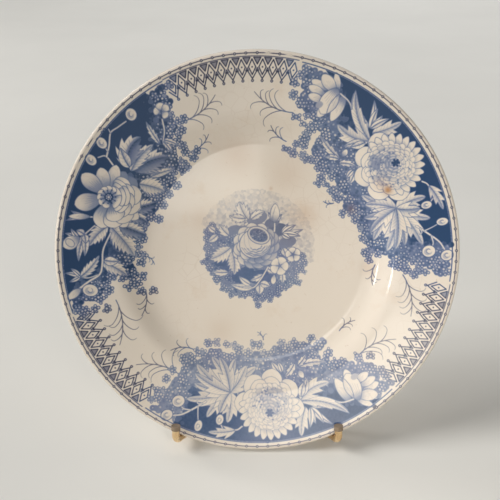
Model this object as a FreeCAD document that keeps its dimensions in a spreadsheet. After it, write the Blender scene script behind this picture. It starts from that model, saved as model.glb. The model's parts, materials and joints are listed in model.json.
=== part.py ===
"""China platter on a folding brass display stand.

Millimetres, +Z up. The platter's face looks towards -Y and leans back. The origin is on the table,
under the middle of the whole object. The platter and the front frame of the stand are drawn in one
leaning frame: x is to the right, u runs up the face of the platter, and w points out of its face.
w = 0 is the plane of the platter's foot ring, and u = 0 is the platter's centre.
"""
import math
import os

import FreeCAD
import Part
import Sketcher

V = FreeCAD.Vector
Turn = FreeCAD.Rotation
Place = FreeCAD.Placement

doc = FreeCAD.newDocument("PlatterOnStand")

# ---------------------------------------------------------------------------------------------
# Driving dimensions
# ---------------------------------------------------------------------------------------------
SIZES = {
    # platter, as radii and as heights above the foot ring's plane
    "rim_radius": 130.0,
    "shoulder_radius": 90.0,
    "well_radius": 76.5,
    "ring_outer_radius": 79.0,
    "ring_inner_radius": 74.0,
    "rim_height": 25.3,
    "rim_thickness": 3.7,
    "shoulder_height": 17.5,
    "shoulder_thickness": 4.6,
    "well_height": 8.0,
    "ring_height": 3.0,
    "cove_round": 16.0,
    "shoulder_round": 20.0,
    "lip_round": 1.75,
    "ring_round": 1.0,
    # how the platter stands
    "lean_angle": 15.0,
    "back_gap": 0.05,
    "depth_shift": -11.45,
    # bent rods of the front frame
    "rod_diameter": 5.0,
    "frame_foot_half_span": 42.0,
    "frame_foot_drop": 122.85,
    "upright_length": 223.0,
    "upright_splay": 4.1,
    "toe_out_angle": 20.0,
    "arm_length": 33.6,
    "hook_length": 10.0,
    "hook_flare": 8.0,
    "foot_bend": 7.0,
    "hook_bend": 5.0,
    # sleeves, caps and feet
    "sleeve_diameter": 6.4,
    "sleeve_length": 14.0,
    "sleeve_fit": 0.02,
    "upper_sleeve_place": 186.0,
    "lower_sleeve_place": 49.0,
    "cap_diameter": 6.0,
    "cap_length": 3.0,
    "cap_end": 0.6,
    "foot_pad_diameter": 10.0,
    "front_pad_height": 3.0,
    "rear_pad_height": 4.5,
    "pad_floor": 1.0,
    # bars across the front frame, by how far up the uprights they sit
    "bar_diameter": 4.0,
    "cross_bar_place": 34.0,
    "top_bar_place": 217.0,
    "finial_neck": 1.6,
    "finial_diameter": 6.2,
    # hinge, by how far up the uprights and how far behind the foot ring
    "hinge_place": 206.0,
    "hinge_setback": 9.0,
    "pin_diameter": 4.0,
    "pin_fit": 0.02,
    "running_fit": 0.06,
    "knuckle_diameter": 8.0,
    "knuckle_length": 9.6,
    "knuckle_half_span": 19.0,
    "lug_length": 6.0,
    "lug_gap": 0.4,
    "stop_tab_width": 6.0,
    "stop_tab_thickness": 2.4,
    "stop_tab_reach": 14.0,
    "nut_diameter": 7.0,
    "nut_height": 3.4,
    "nut_fit": 0.05,
    # rear leg
    "leg_angle": 14.0,
    "leg_foot_half_span": 32.0,
    "leg_bend": 9.0,
    "rear_pad_half_span": 20.0,
}

sheet = doc.addObject("Spreadsheet::Sheet", "Sizes")
for row, (alias, value) in enumerate(SIZES.items(), start=1):
    sheet.set(f"A{row}", alias)
    sheet.set(f"B{row}", str(value))
    sheet.setAlias(f"B{row}", alias)
doc.recompute()


def size(alias):
    """The number that the sheet holds under this alias."""
    return float(sheet.get(alias))


def bind(item, sizes):
    """Tie an object's properties to formulas over the sheet's aliases."""
    for prop, formula in sizes.items():
        for alias in sorted(SIZES, key=len, reverse=True):
            formula = formula.replace("<" + alias + ">", "Sizes." + alias)
        item.setExpression(prop, formula)


# ---------------------------------------------------------------------------------------------
# The leaning frame, and the places worked out from the driving dimensions
# ---------------------------------------------------------------------------------------------
lean = math.radians(size("lean_angle"))
splay = math.radians(size("upright_splay"))
toe_out = math.radians(size("toe_out_angle"))
leg_tilt = math.radians(size("leg_angle"))
rod_radius = size("rod_diameter") / 2
rod_depth = -(size("sleeve_diameter") / 2 + size("back_gap"))


def upright_axis(side):
    """Direction up an upright, in the leaning frame. side is -1 for left and +1 for right."""
    return V(-side * math.sin(splay), math.cos(splay), 0)


def arm_axis(side):
    """Direction from the foot bend to the hook, in the leaning frame."""
    sideways = V(side * math.cos(splay), math.sin(splay), 0)
    return sideways * math.sin(toe_out) + V(0, 0, math.cos(toe_out))


def frame_foot(side):
    """Corner of the foot bend, in the leaning frame."""
    return V(side * size("frame_foot_half_span"), -size("frame_foot_drop"), rod_depth)


def on_upright(side, along):
    """Point on an upright's axis, this far up from the foot bend's corner."""
    return frame_foot(side) + upright_axis(side) * along


def world_rise(direction):
    """How much a unit step in the leaning frame climbs above the table."""
    return direction.y * math.cos(lean) + direction.z * math.sin(lean)


# The foot bend's lowest point rests on a pad: the corner is set this much lower than the rod there.
upright_rise = world_rise(upright_axis(1))
arm_rise = world_rise(arm_axis(1))
bend_steepness = math.hypot(upright_rise, arm_rise)
bend_lift = size("foot_bend") * (upright_rise + arm_rise - bend_steepness)
foot_axis_height = size("pad_floor") + rod_radius
centre_height = foot_axis_height - bend_lift - world_rise(frame_foot(1))

LEANING = Place(V(0, size("depth_shift"), centre_height), Turn(V(1, 0, 0), 90 - size("lean_angle")))


def leaning_place(point, turn=Turn()):
    """Placement of something drawn at a point of the leaning frame."""
    return LEANING.multiply(Place(point, turn))


def side_plane(side):
    """Plane of one bent side rod: local x runs up the upright and local y along the arm."""
    along, out = upright_axis(side), arm_axis(side)
    return leaning_place(frame_foot(side), Turn(along, out, along.cross(out), "XYZ"))


# ---------------------------------------------------------------------------------------------
# Helpers
# ---------------------------------------------------------------------------------------------
def origin_plane(body, role):
    return [feature for feature in body.Origin.OriginFeatures if feature.Role == role][0]


def add_body(name):
    body = doc.addObject("PartDesign::Body", name.title().replace("_", ""))
    body.Label = name
    return body


def add_sketch(body, name, role):
    sketch = body.newObject("Sketcher::SketchObject", name)
    sketch.AttachmentSupport = [(origin_plane(body, role), "")]
    sketch.MapMode = "FlatFace"
    return sketch


def add_cylinder(name, place, sizes):
    cylinder = doc.addObject("Part::Cylinder", name)
    bind(cylinder, sizes)
    cylinder.Placement = place
    return cylinder


def add_cut(name, base, tools):
    """Cut the tools out of the base. Several tools are first gathered in a compound."""
    tool = tools[0]
    if len(tools) > 1:
        tool = doc.addObject("Part::Compound", name + "_tools")
        tool.Links = tools
    cut = doc.addObject("Part::Cut", name + "_cut")
    cut.Base = base
    cut.Tool = tool
    cut.Label = name
    return cut


def close_outline(sketch, corners):
    """Draw a closed outline of straight edges, with its corners tied together."""
    count = len(corners)
    for index in range(count):
        start, end = corners[index], corners[(index + 1) % count]
        sketch.addGeometry(Part.LineSegment(V(*start, 0), V(*end, 0)), False)
    for index in range(count):
        sketch.addConstraint(Sketcher.Constraint("Coincident", index, 2, (index + 1) % count, 1))


def fix_corner(sketch, edge, formulas, names):
    """Dimension the start of an edge from the sketch's origin: along x, then along y."""
    for kind, formula, name in zip(("DistanceX", "DistanceY"), formulas, names):
        start = sketch.Geometry[edge].StartPoint
        value = start.x if kind == "DistanceX" else start.y
        index = sketch.addConstraint(Sketcher.Constraint(kind, -1, 1, edge, 1, value))
        sketch.renameConstraint(index, name)
        bind(sketch, {f"Constraints.{name}": formula})


def ring_edges(feature, radius, height):
    """Names of the round edges of this radius at this height above the body's XY plane."""
    found = []
    for index, edge in enumerate(feature.Shape.Edges, start=1):
        curve = edge.Curve
        if not isinstance(curve, Part.Circle):
            continue
        if abs(curve.Radius - radius) < 0.01 and abs(curve.Center.z - height) < 0.01:
            found.append(f"Edge{index}")
    return found


def add_fillet(body, base, name, rings, formula):
    """Round the edges found at each (radius, height)."""
    fillet = body.newObject("PartDesign::Fillet", name)
    edges = [edge for radius, height in rings for edge in ring_edges(base, radius, height)]
    fillet.Base = (base, edges)
    bind(fillet, {"Radius": formula})
    doc.recompute()
    return fillet


def add_rod(body, path, profile_role, profile_centre):
    """Sweep the rod's round section along a path sketch, from the plane that crosses its start."""
    section = add_sketch(body, path.Name + "Section", profile_role)
    section.AttachmentOffset = Place(profile_centre, Turn())
    section.addGeometry(Part.Circle(V(0, 0, 0), V(0, 0, 1), rod_radius), False)
    section.addConstraint(Sketcher.Constraint("Coincident", 0, 3, -1, 1))
    index = section.addConstraint(Sketcher.Constraint("Diameter", 0, 2 * rod_radius))
    section.renameConstraint(index, "Rod")
    bind(section, {"Constraints.Rod": "<rod_diameter>"})
    pipe = body.newObject("PartDesign::AdditivePipe", path.Name + "Rod")
    pipe.Profile = section
    pipe.Spine = path
    return pipe


# ---------------------------------------------------------------------------------------------
# Platter
# ---------------------------------------------------------------------------------------------
def make_platter():
    """One fired piece: flat well, coved slope, broad flange with a rounded lip, and a foot ring."""
    body = add_body("platter")
    profile = add_sketch(body, "PlatterProfile", "XZ_Plane")
    back_flange = size("shoulder_height") - size("shoulder_thickness")
    lip_under = size("rim_height") - size("rim_thickness")
    corners = [
        (0, size("well_height")),
        (size("well_radius"), size("well_height")),
        (size("shoulder_radius"), size("shoulder_height")),
        (size("rim_radius"), size("rim_height")),
        (size("rim_radius"), lip_under),
        (size("shoulder_radius") + 3, back_flange),
        (size("ring_outer_radius"), 0),
        (size("ring_inner_radius"), 0),
        (size("ring_inner_radius"), size("ring_height")),
        (0, size("ring_height")),
    ]
    formulas = [
        ("0 mm", "<well_height>"),
        ("<well_radius>", "<well_height>"),
        ("<shoulder_radius>", "<shoulder_height>"),
        ("<rim_radius>", "<rim_height>"),
        ("<rim_radius>", "<rim_height> - <rim_thickness>"),
        ("<shoulder_radius> + 3", "<shoulder_height> - <shoulder_thickness>"),
        ("<ring_outer_radius>", "0 mm"),
        ("<ring_inner_radius>", "0 mm"),
        ("<ring_inner_radius>", "<ring_height>"),
        ("0 mm", "<ring_height>"),
    ]
    close_outline(profile, corners)
    for edge, pair in enumerate(formulas):
        fix_corner(profile, edge, pair, (f"Radius{edge}", f"Height{edge}"))
    turned = body.newObject("PartDesign::Revolution", "PlatterTurned")
    turned.Profile = profile
    turned.ReferenceAxis = (profile, ["V_Axis"])
    turned.Angle = 360
    doc.recompute()

    cove = add_fillet(body, turned, "Cove", [corners[1]], "<cove_round>")
    shoulder = add_fillet(body, cove, "Shoulder", [corners[2], corners[5]], "<shoulder_round>")
    lip = add_fillet(body, shoulder, "Lip", [corners[3], corners[4]], "<lip_round>")
    add_fillet(body, lip, "RingRounds", [corners[6], corners[7], corners[8]], "<ring_round>")
    body.Placement = LEANING
    return body


# ---------------------------------------------------------------------------------------------
# Front frame of the stand
# ---------------------------------------------------------------------------------------------
def make_side_rod(side, name):
    """One rod bent on a flat jig: upright, foot bend, arm under the rim, and the hook in front."""
    body = add_body(name)
    path = add_sketch(body, name.title().replace("_", "") + "Path", "XY_Plane")
    foot_bend, hook_bend = size("foot_bend"), size("hook_bend")
    flare = math.radians(size("hook_flare"))
    hook_way = V(math.cos(flare), math.sin(flare), 0)
    hook_turn = math.pi / 2 - flare
    setback = hook_bend * math.tan(hook_turn / 2)
    corner = V(0, size("arm_length"), 0)
    arm_end = corner - V(0, setback, 0)
    hook_centre = arm_end + V(hook_bend, 0, 0)

    top = V(size("upright_length"), 0, 0)
    path.addGeometry(Part.LineSegment(top, V(foot_bend, 0, 0)), False)
    foot_circle = Part.Circle(V(foot_bend, foot_bend, 0), V(0, 0, 1), foot_bend)
    path.addGeometry(Part.ArcOfCircle(foot_circle, math.pi, 1.5 * math.pi), False)
    path.addGeometry(Part.LineSegment(V(0, foot_bend, 0), arm_end), False)
    hook_circle = Part.Circle(hook_centre, V(0, 0, 1), hook_bend)
    path.addGeometry(Part.ArcOfCircle(hook_circle, math.pi - hook_turn, math.pi), False)
    hook_start = corner + hook_way * setback
    path.addGeometry(Part.LineSegment(hook_start, corner + hook_way * size("hook_length")), False)
    path.addGeometry(Part.Point(corner), True)

    ties = [
        ("PointOnObject", 0, 1, -1),
        ("Horizontal", 0),
        ("Tangent", 0, 2, 1, 2),
        ("Tangent", 1, 1, 2, 1),
        ("Tangent", 2, 2, 3, 2),
        ("Tangent", 3, 1, 4, 1),
        ("Vertical", 2),
        ("PointOnObject", -1, 1, 2),
        ("PointOnObject", 5, 1, 2),
        ("PointOnObject", 5, 1, 4),
    ]
    for tie in ties:
        path.addConstraint(Sketcher.Constraint(*tie))
    measures = [
        ("Upright", ("DistanceX", -1, 1, 0, 1, size("upright_length")), "<upright_length>"),
        ("FootBend", ("Radius", 1, foot_bend), "<foot_bend>"),
        ("Arm", ("DistanceY", -1, 1, 5, 1, size("arm_length")), "<arm_length>"),
        ("HookBend", ("Radius", 3, hook_bend), "<hook_bend>"),
        ("Flare", ("Angle", 4, flare), "<hook_flare> * 1 deg"),
        ("Hook", ("Distance", 5, 1, 4, 2, size("hook_length")), "<hook_length>"),
    ]
    for label, values, formula in measures:
        index = path.addConstraint(Sketcher.Constraint(*values))
        path.renameConstraint(index, label)
        bind(path, {f"Constraints.{label}": formula})
    add_rod(body, path, "YZ_Plane", V(0, 0, size("upright_length")))
    body.Placement = side_plane(side)
    return body


def make_hook_cap(side, name, rod):
    """Soft cap pushed over the end of the hook, with a thin closed end."""
    flare = math.radians(size("hook_flare"))
    hook_way = V(math.cos(flare), math.sin(flare), 0)
    tip = V(0, size("arm_length"), 0) + hook_way * size("hook_length")
    start = tip - hook_way * (size("cap_length") - size("cap_end"))
    place = side_plane(side).multiply(Place(start, Turn(V(0, 0, 1), hook_way)))
    blank_sizes = {"Radius": "<cap_diameter> / 2", "Height": "<cap_length>"}
    blank = add_cylinder(name + "_blank", place, blank_sizes)
    return add_cut(name, blank, [rod])


def make_sleeve(side, name, along_alias):
    """Clear sleeve on an upright, where the platter's foot ring leans on it."""
    start = size(along_alias) - size("sleeve_length") / 2
    place = leaning_place(on_upright(side, start), Turn(V(0, 0, 1), upright_axis(side)))
    outer_sizes = {"Radius": "<sleeve_diameter> / 2", "Height": "<sleeve_length>"}
    outer = add_cylinder(name + "_outer", place, outer_sizes)
    bore = {"Radius": "<rod_diameter> / 2 + <sleeve_fit>", "Height": "<sleeve_length>"}
    inner = add_cylinder(name + "_bore", place, bore)
    return add_cut(name, outer, [inner])


def make_bar(name, along_alias, rods):
    """Straight bar between the uprights, coped to fit them."""
    place = leaning_place(on_upright(-1, size(along_alias)), Turn(V(0, 0, 1), V(1, 0, 0)))
    blank = add_cylinder(name + "_blank", place, {"Radius": "<bar_diameter> / 2"})
    blank.Height = 2 * on_upright(1, size(along_alias)).x
    return add_cut(name, blank, rods)


def make_finial(side, name):
    """Turned neck and ball on top of an upright."""
    body = add_body(name)
    profile = add_sketch(body, name.title().replace("_", "") + "Profile", "XZ_Plane")
    neck, ball = size("finial_neck"), size("finial_diameter") / 2
    ball_centre = neck + ball
    ball_circle = Part.Circle(V(0, ball_centre, 0), V(0, 0, 1), ball)
    waist = math.asin(rod_radius * 0.8 / ball)
    waist_point = V(ball * math.sin(waist), ball_centre - ball * math.cos(waist), 0)
    profile.addGeometry(Part.LineSegment(V(0, 0, 0), V(rod_radius, 0, 0)), False)
    profile.addGeometry(Part.LineSegment(V(rod_radius, 0, 0), waist_point), False)
    profile.addGeometry(Part.ArcOfCircle(ball_circle, waist - math.pi / 2, math.pi / 2), False)
    profile.addGeometry(Part.LineSegment(V(0, ball_centre + ball, 0), V(0, 0, 0)), False)
    for first, last in ((0, 1), (1, 2), (2, 3)):
        profile.addConstraint(Sketcher.Constraint("Coincident", first, 2, last, 1))
    profile.addConstraint(Sketcher.Constraint("Coincident", 3, 2, 0, 1))
    profile.addConstraint(Sketcher.Constraint("Coincident", 0, 1, -1, 1))
    profile.addConstraint(Sketcher.Constraint("Horizontal", 0))
    profile.addConstraint(Sketcher.Constraint("Vertical", 3))
    profile.addConstraint(Sketcher.Constraint("PointOnObject", 2, 3, -2))
    measures = [
        ("Neck", ("DistanceX", 0, 1, 0, 2, rod_radius), "<rod_diameter> / 2"),
        ("Ball", ("Radius", 2, ball), "<finial_diameter> / 2"),
        ("Centre", ("DistanceY", -1, 1, 2, 3, ball_centre), "<finial_neck> + <finial_diameter> / 2"),
        ("Waist", ("DistanceX", -1, 1, 2, 1, rod_radius * 0.8), "<rod_diameter> * 0.4"),
    ]
    for label, values, formula in measures:
        index = profile.addConstraint(Sketcher.Constraint(*values))
        profile.renameConstraint(index, label)
        bind(profile, {f"Constraints.{label}": formula})
    turned = body.newObject("PartDesign::Revolution", name.title().replace("_", "") + "Turned")
    turned.Profile = profile
    turned.ReferenceAxis = (profile, ["V_Axis"])
    turned.Angle = 360
    top = on_upright(side, size("upright_length"))
    body.Placement = leaning_place(top, Turn(V(0, 0, 1), upright_axis(side)))
    return body


def make_front_foot(side, name, rod):
    """Rubber button under the foot bend, grooved to hold the rod's lowest stretch."""
    slide_along_arm = size("foot_bend") * (1 - arm_rise / bend_steepness)
    slide_up = size("foot_bend") * (1 - upright_rise / bend_steepness)
    point = frame_foot(side) + arm_axis(side) * slide_along_arm + upright_axis(side) * slide_up
    lowest = LEANING.multVec(point)
    place = Place(V(lowest.x, lowest.y, 0), Turn())
    sizes = {"Radius": "<foot_pad_diameter> / 2", "Height": "<front_pad_height>"}
    return add_cut(name, add_cylinder(name + "_blank", place, sizes), [rod])


# ---------------------------------------------------------------------------------------------
# Hinge
# ---------------------------------------------------------------------------------------------
hinge_up = on_upright(1, size("hinge_place")).y
hinge_axis_point = V(0, hinge_up, -size("hinge_setback"))
lug_inner = size("knuckle_half_span") + size("knuckle_length") / 2 + size("lug_gap")


def across(point, turn=Turn(V(0, 0, 1), V(1, 0, 0))):
    """Placement of a cylinder that runs to the right from a point on the hinge's axis."""
    return leaning_place(hinge_axis_point + point, turn)


def make_lug(side, name, rod):
    """Short tube soldered to the back of an upright, which holds the hinge pin."""
    start = lug_inner if side > 0 else -lug_inner - size("lug_length")
    outer_sizes = {"Radius": "<knuckle_diameter> / 2", "Height": "<lug_length>"}
    outer = add_cylinder(name + "_outer", across(V(start, 0, 0)), outer_sizes)
    bore_sizes = {"Radius": "<pin_diameter> / 2 + <pin_fit>", "Height": "<lug_length>"}
    bore = add_cylinder(name + "_bore", across(V(start, 0, 0)), bore_sizes)
    return add_cut(name, outer, [bore, rod])


def make_hinge_pin():
    """Straight pin through both lugs and both knuckles."""
    half = lug_inner + size("lug_length") + size("nut_height") * 0.6
    pin = add_cylinder("hinge_pin", across(V(-half, 0, 0)), {"Radius": "<pin_diameter> / 2"})
    pin.Height = 2 * half
    return pin


def make_pin_nuts(pin):
    """Two domed nuts, one on each end of the pin, as one group."""
    nuts = []
    for side, label in ((-1, "left"), (1, "right")):
        face = side * (lug_inner + size("lug_length") + size("nut_fit"))
        place = across(V(face, 0, 0), Turn(V(0, 0, 1), V(side, 0, 0)))
        barrel_sizes = {"Radius": "<nut_diameter> / 2", "Height": "<nut_height> * 0.45"}
        barrel = add_cylinder(label + "_nut_barrel", place, barrel_sizes)
        dome = doc.addObject("Part::Ellipsoid", label + "_nut_dome")
        dome_sizes = {
            "Radius1": "<nut_height> * 0.55",
            "Radius2": "<nut_diameter> / 2",
            "Radius3": "<nut_diameter> / 2",
        }
        bind(dome, dome_sizes)
        dome.Angle1 = 0
        dome.Angle2 = 90
        dome.Placement = place.multiply(Place(V(0, 0, size("nut_height") * 0.45), Turn()))
        nut = doc.addObject("Part::MultiFuse", label + "_nut")
        nut.Shapes = [barrel, dome]
        nuts.append(nut)
    pair = doc.addObject("Part::Compound", "nut_pair")
    pair.Links = nuts
    return add_cut("pin_nuts", pair, [pin])


# ---------------------------------------------------------------------------------------------
# Rear leg
# ---------------------------------------------------------------------------------------------
hinge_world = LEANING.multVec(hinge_axis_point)
leg_length = (hinge_world.z - foot_axis_height) / math.cos(leg_tilt)
LEG = Place(hinge_world, Turn(V(1, 0, 0), 90 + size("leg_angle")))


def make_knuckle(side, name):
    """Running tube on the hinge pin, with a tab that stops against the top bar."""
    half = size("knuckle_length") / 2
    start = V(side * size("knuckle_half_span") - half, 0, 0)
    outer_sizes = {"Radius": "<knuckle_diameter> / 2", "Height": "<knuckle_length>"}
    outer = add_cylinder(name + "_outer", across(start), outer_sizes)
    tab = doc.addObject("Part::Box", name + "_tab")
    tab_sizes = {
        "Length": "<stop_tab_width>",
        "Width": "<stop_tab_reach>",
        "Height": "<stop_tab_thickness>",
    }
    bind(tab, tab_sizes)
    bar_back = rod_depth - size("bar_diameter") / 2 - size("back_gap")
    tab_back = bar_back - size("stop_tab_thickness") + size("hinge_setback")
    tab_left = side * size("knuckle_half_span") - size("stop_tab_width") / 2
    tab.Placement = across(V(tab_left, 0, tab_back), Turn())
    whole = doc.addObject("Part::MultiFuse", name + "_whole")
    whole.Shapes = [outer, tab]
    bore_sizes = {"Radius": "<pin_diameter> / 2 + <running_fit>", "Height": "<knuckle_length>"}
    bore = add_cylinder(name + "_bore", across(start), bore_sizes)
    return add_cut(name, whole, [bore])


def make_rear_leg():
    """One rod bent to a long U, its two ends coped to the knuckles."""
    body = add_body("rear_leg_bend")
    path = add_sketch(body, "RearLegPath", "XY_Plane")
    top, foot, bend = size("knuckle_half_span"), size("leg_foot_half_span"), size("leg_bend")
    turn = math.pi / 2 + math.atan2(foot - top, leg_length)
    setback = bend * math.tan(turn / 2)
    way_up = V(top - foot, leg_length, 0).normalize()
    centre_x = foot - setback
    centre = V(centre_x, -leg_length + bend, 0)
    side_end = V(foot, -leg_length, 0) + way_up * setback
    arc_top = math.atan2(side_end.y - centre.y, side_end.x - centre.x)

    path.addGeometry(Part.LineSegment(V(-top, 0, 0), V(-side_end.x, side_end.y, 0)), False)
    left_circle = Part.Circle(V(-centre.x, centre.y, 0), V(0, 0, 1), bend)
    path.addGeometry(Part.ArcOfCircle(left_circle, math.pi - arc_top, 1.5 * math.pi), False)
    path.addGeometry(Part.LineSegment(V(-centre_x, -leg_length, 0), V(centre_x, -leg_length, 0)), False)
    right_circle = Part.Circle(centre, V(0, 0, 1), bend)
    path.addGeometry(Part.ArcOfCircle(right_circle, -math.pi / 2, arc_top), False)
    path.addGeometry(Part.LineSegment(side_end, V(top, 0, 0)), False)
    path.addGeometry(Part.Point(V(foot, -leg_length, 0)), True)
    ties = [
        ("PointOnObject", 4, 2, -1),
        ("Tangent", 0, 2, 1, 1),
        ("Tangent", 1, 2, 2, 1),
        ("Tangent", 2, 2, 3, 1),
        ("Tangent", 3, 2, 4, 1),
        ("Symmetric", 0, 1, 4, 2, -2),
        ("Symmetric", 2, 1, 2, 2, -2),
        ("Equal", 1, 3),
        ("PointOnObject", 5, 1, 2),
        ("PointOnObject", 5, 1, 4),
    ]
    for tie in ties:
        path.addConstraint(Sketcher.Constraint(*tie))
    measures = [
        ("Top", ("DistanceX", -1, 1, 4, 2, top), "<knuckle_half_span>"),
        ("Foot", ("DistanceX", -1, 1, 5, 1, foot), "<leg_foot_half_span>"),
        ("Bend", ("Radius", 3, bend), "<leg_bend>"),
    ]
    for label, values, formula in measures:
        index = path.addConstraint(Sketcher.Constraint(*values))
        path.renameConstraint(index, label)
        bind(path, {f"Constraints.{label}": formula})
    index = path.addConstraint(Sketcher.Constraint("DistanceY", 5, 1, -1, 1, leg_length))
    path.renameConstraint(index, "Length")
    add_rod(body, path, "XZ_Plane", V(-top, 0, 0))
    body.Placement = LEG

    tube_sizes = {"Radius": "<knuckle_diameter> / 2", "Height": "<knuckle_half_span> * 4"}
    tube = add_cylinder("rear_leg_cope", across(V(-2 * top, 0, 0)), tube_sizes)
    return add_cut("rear_leg", body, [tube])


def make_rear_foot(side, name, leg):
    """Rubber button pushed on the rear leg's bottom run."""
    run = LEG.multVec(V(side * size("rear_pad_half_span"), -leg_length, 0))
    sizes = {"Radius": "<foot_pad_diameter> / 2", "Height": "<rear_pad_height>"}
    blank = add_cylinder(name + "_blank", Place(V(run.x, run.y, 0), Turn()), sizes)
    return add_cut(name, blank, [leg])


# ---------------------------------------------------------------------------------------------
# Build, check and write
# ---------------------------------------------------------------------------------------------
parts = [make_platter()]
rods = {}
for side, hand in ((-1, "left"), (1, "right")):
    rods[side] = make_side_rod(side, hand + "_side_rod")
    parts.append(rods[side])
    parts.append(make_hook_cap(side, hand + "_hook_cap", rods[side]))
    parts.append(make_sleeve(side, hand + "_upper_sleeve", "upper_sleeve_place"))
    parts.append(make_sleeve(side, hand + "_lower_sleeve", "lower_sleeve_place"))
    parts.append(make_finial(side, hand + "_finial"))
    parts.append(make_front_foot(side, hand + "_front_foot", rods[side]))
    parts.append(make_lug(side, hand + "_hinge_lug", rods[side]))
    parts.append(make_knuckle(side, hand + "_knuckle"))
parts.append(make_bar("top_bar", "top_bar_place", [rods[-1], rods[1]]))
parts.append(make_bar("cross_bar", "cross_bar_place", [rods[-1], rods[1]]))
hinge_pin = make_hinge_pin()
parts.append(hinge_pin)
parts.append(make_pin_nuts(hinge_pin))
rear_leg = make_rear_leg()
parts.append(rear_leg)
for side, hand in ((-1, "left"), (1, "right")):
    parts.append(make_rear_foot(side, hand + "_rear_foot", rear_leg))
doc.recompute()

for item in doc.Objects:
    if "Invalid" in item.State or "Error" in item.State:
        raise RuntimeError(f"{item.Name} failed: {item.State}")
for part in parts:
    if part.Shape.isNull() or not part.Shape.isValid():
        raise RuntimeError(f"{part.Label} has no valid shape")

os.makedirs("parts", exist_ok=True)
for part in parts:
    part.Shape.exportStep(f"parts/{part.Label}.step")
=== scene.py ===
"""A blue and white printed platter on its folding brass stand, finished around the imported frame."""
import json
import math

import bpy
import numpy as np
from mathutils import Matrix, Vector


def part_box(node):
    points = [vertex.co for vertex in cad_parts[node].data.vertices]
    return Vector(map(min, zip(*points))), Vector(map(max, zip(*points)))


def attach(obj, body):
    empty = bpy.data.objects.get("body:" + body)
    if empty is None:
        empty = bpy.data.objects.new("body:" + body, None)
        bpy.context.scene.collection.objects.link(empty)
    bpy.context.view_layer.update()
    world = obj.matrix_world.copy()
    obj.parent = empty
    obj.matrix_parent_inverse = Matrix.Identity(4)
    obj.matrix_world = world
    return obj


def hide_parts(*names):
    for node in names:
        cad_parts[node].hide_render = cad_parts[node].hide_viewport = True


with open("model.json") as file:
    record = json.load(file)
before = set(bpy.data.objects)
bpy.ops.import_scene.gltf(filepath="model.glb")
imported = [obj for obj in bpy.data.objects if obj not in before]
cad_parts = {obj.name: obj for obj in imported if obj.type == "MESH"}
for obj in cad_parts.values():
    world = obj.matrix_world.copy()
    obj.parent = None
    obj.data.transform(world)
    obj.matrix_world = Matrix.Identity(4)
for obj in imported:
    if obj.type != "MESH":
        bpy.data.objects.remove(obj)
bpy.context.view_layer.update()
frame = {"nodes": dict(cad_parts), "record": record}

MM = 0.001

# Platter, in millimetres: radius from its axis, and height above its foot ring.
RIM = 130.0
CORNERS_FRONT = [(0.0, 8.0), (76.5, 8.0), (90.0, 17.5), (130.0, 25.3)]
CORNERS_BACK = [(130.0, 21.6), (93.0, 12.9), (79.0, 0.0), (74.0, 0.0), (74.0, 3.0), (0.0, 3.0)]
COVE, SHOULDER, LIP, RING_ROUND = 22.0, 20.0, 1.75, 1.0
LEAN = math.radians(15.0)

# Print: the step of its grid in mm, the ink of parts left pale, and its lines as shares of the rim's radius.
GRID_STEP = 0.2
PALE = 0.02
BEAD_LINE, GROUND_LINE, LATTICE_LINE = 0.9815, 0.962, 0.9665
LATTICE_CELL = 3.16
BEADS = 114


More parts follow.
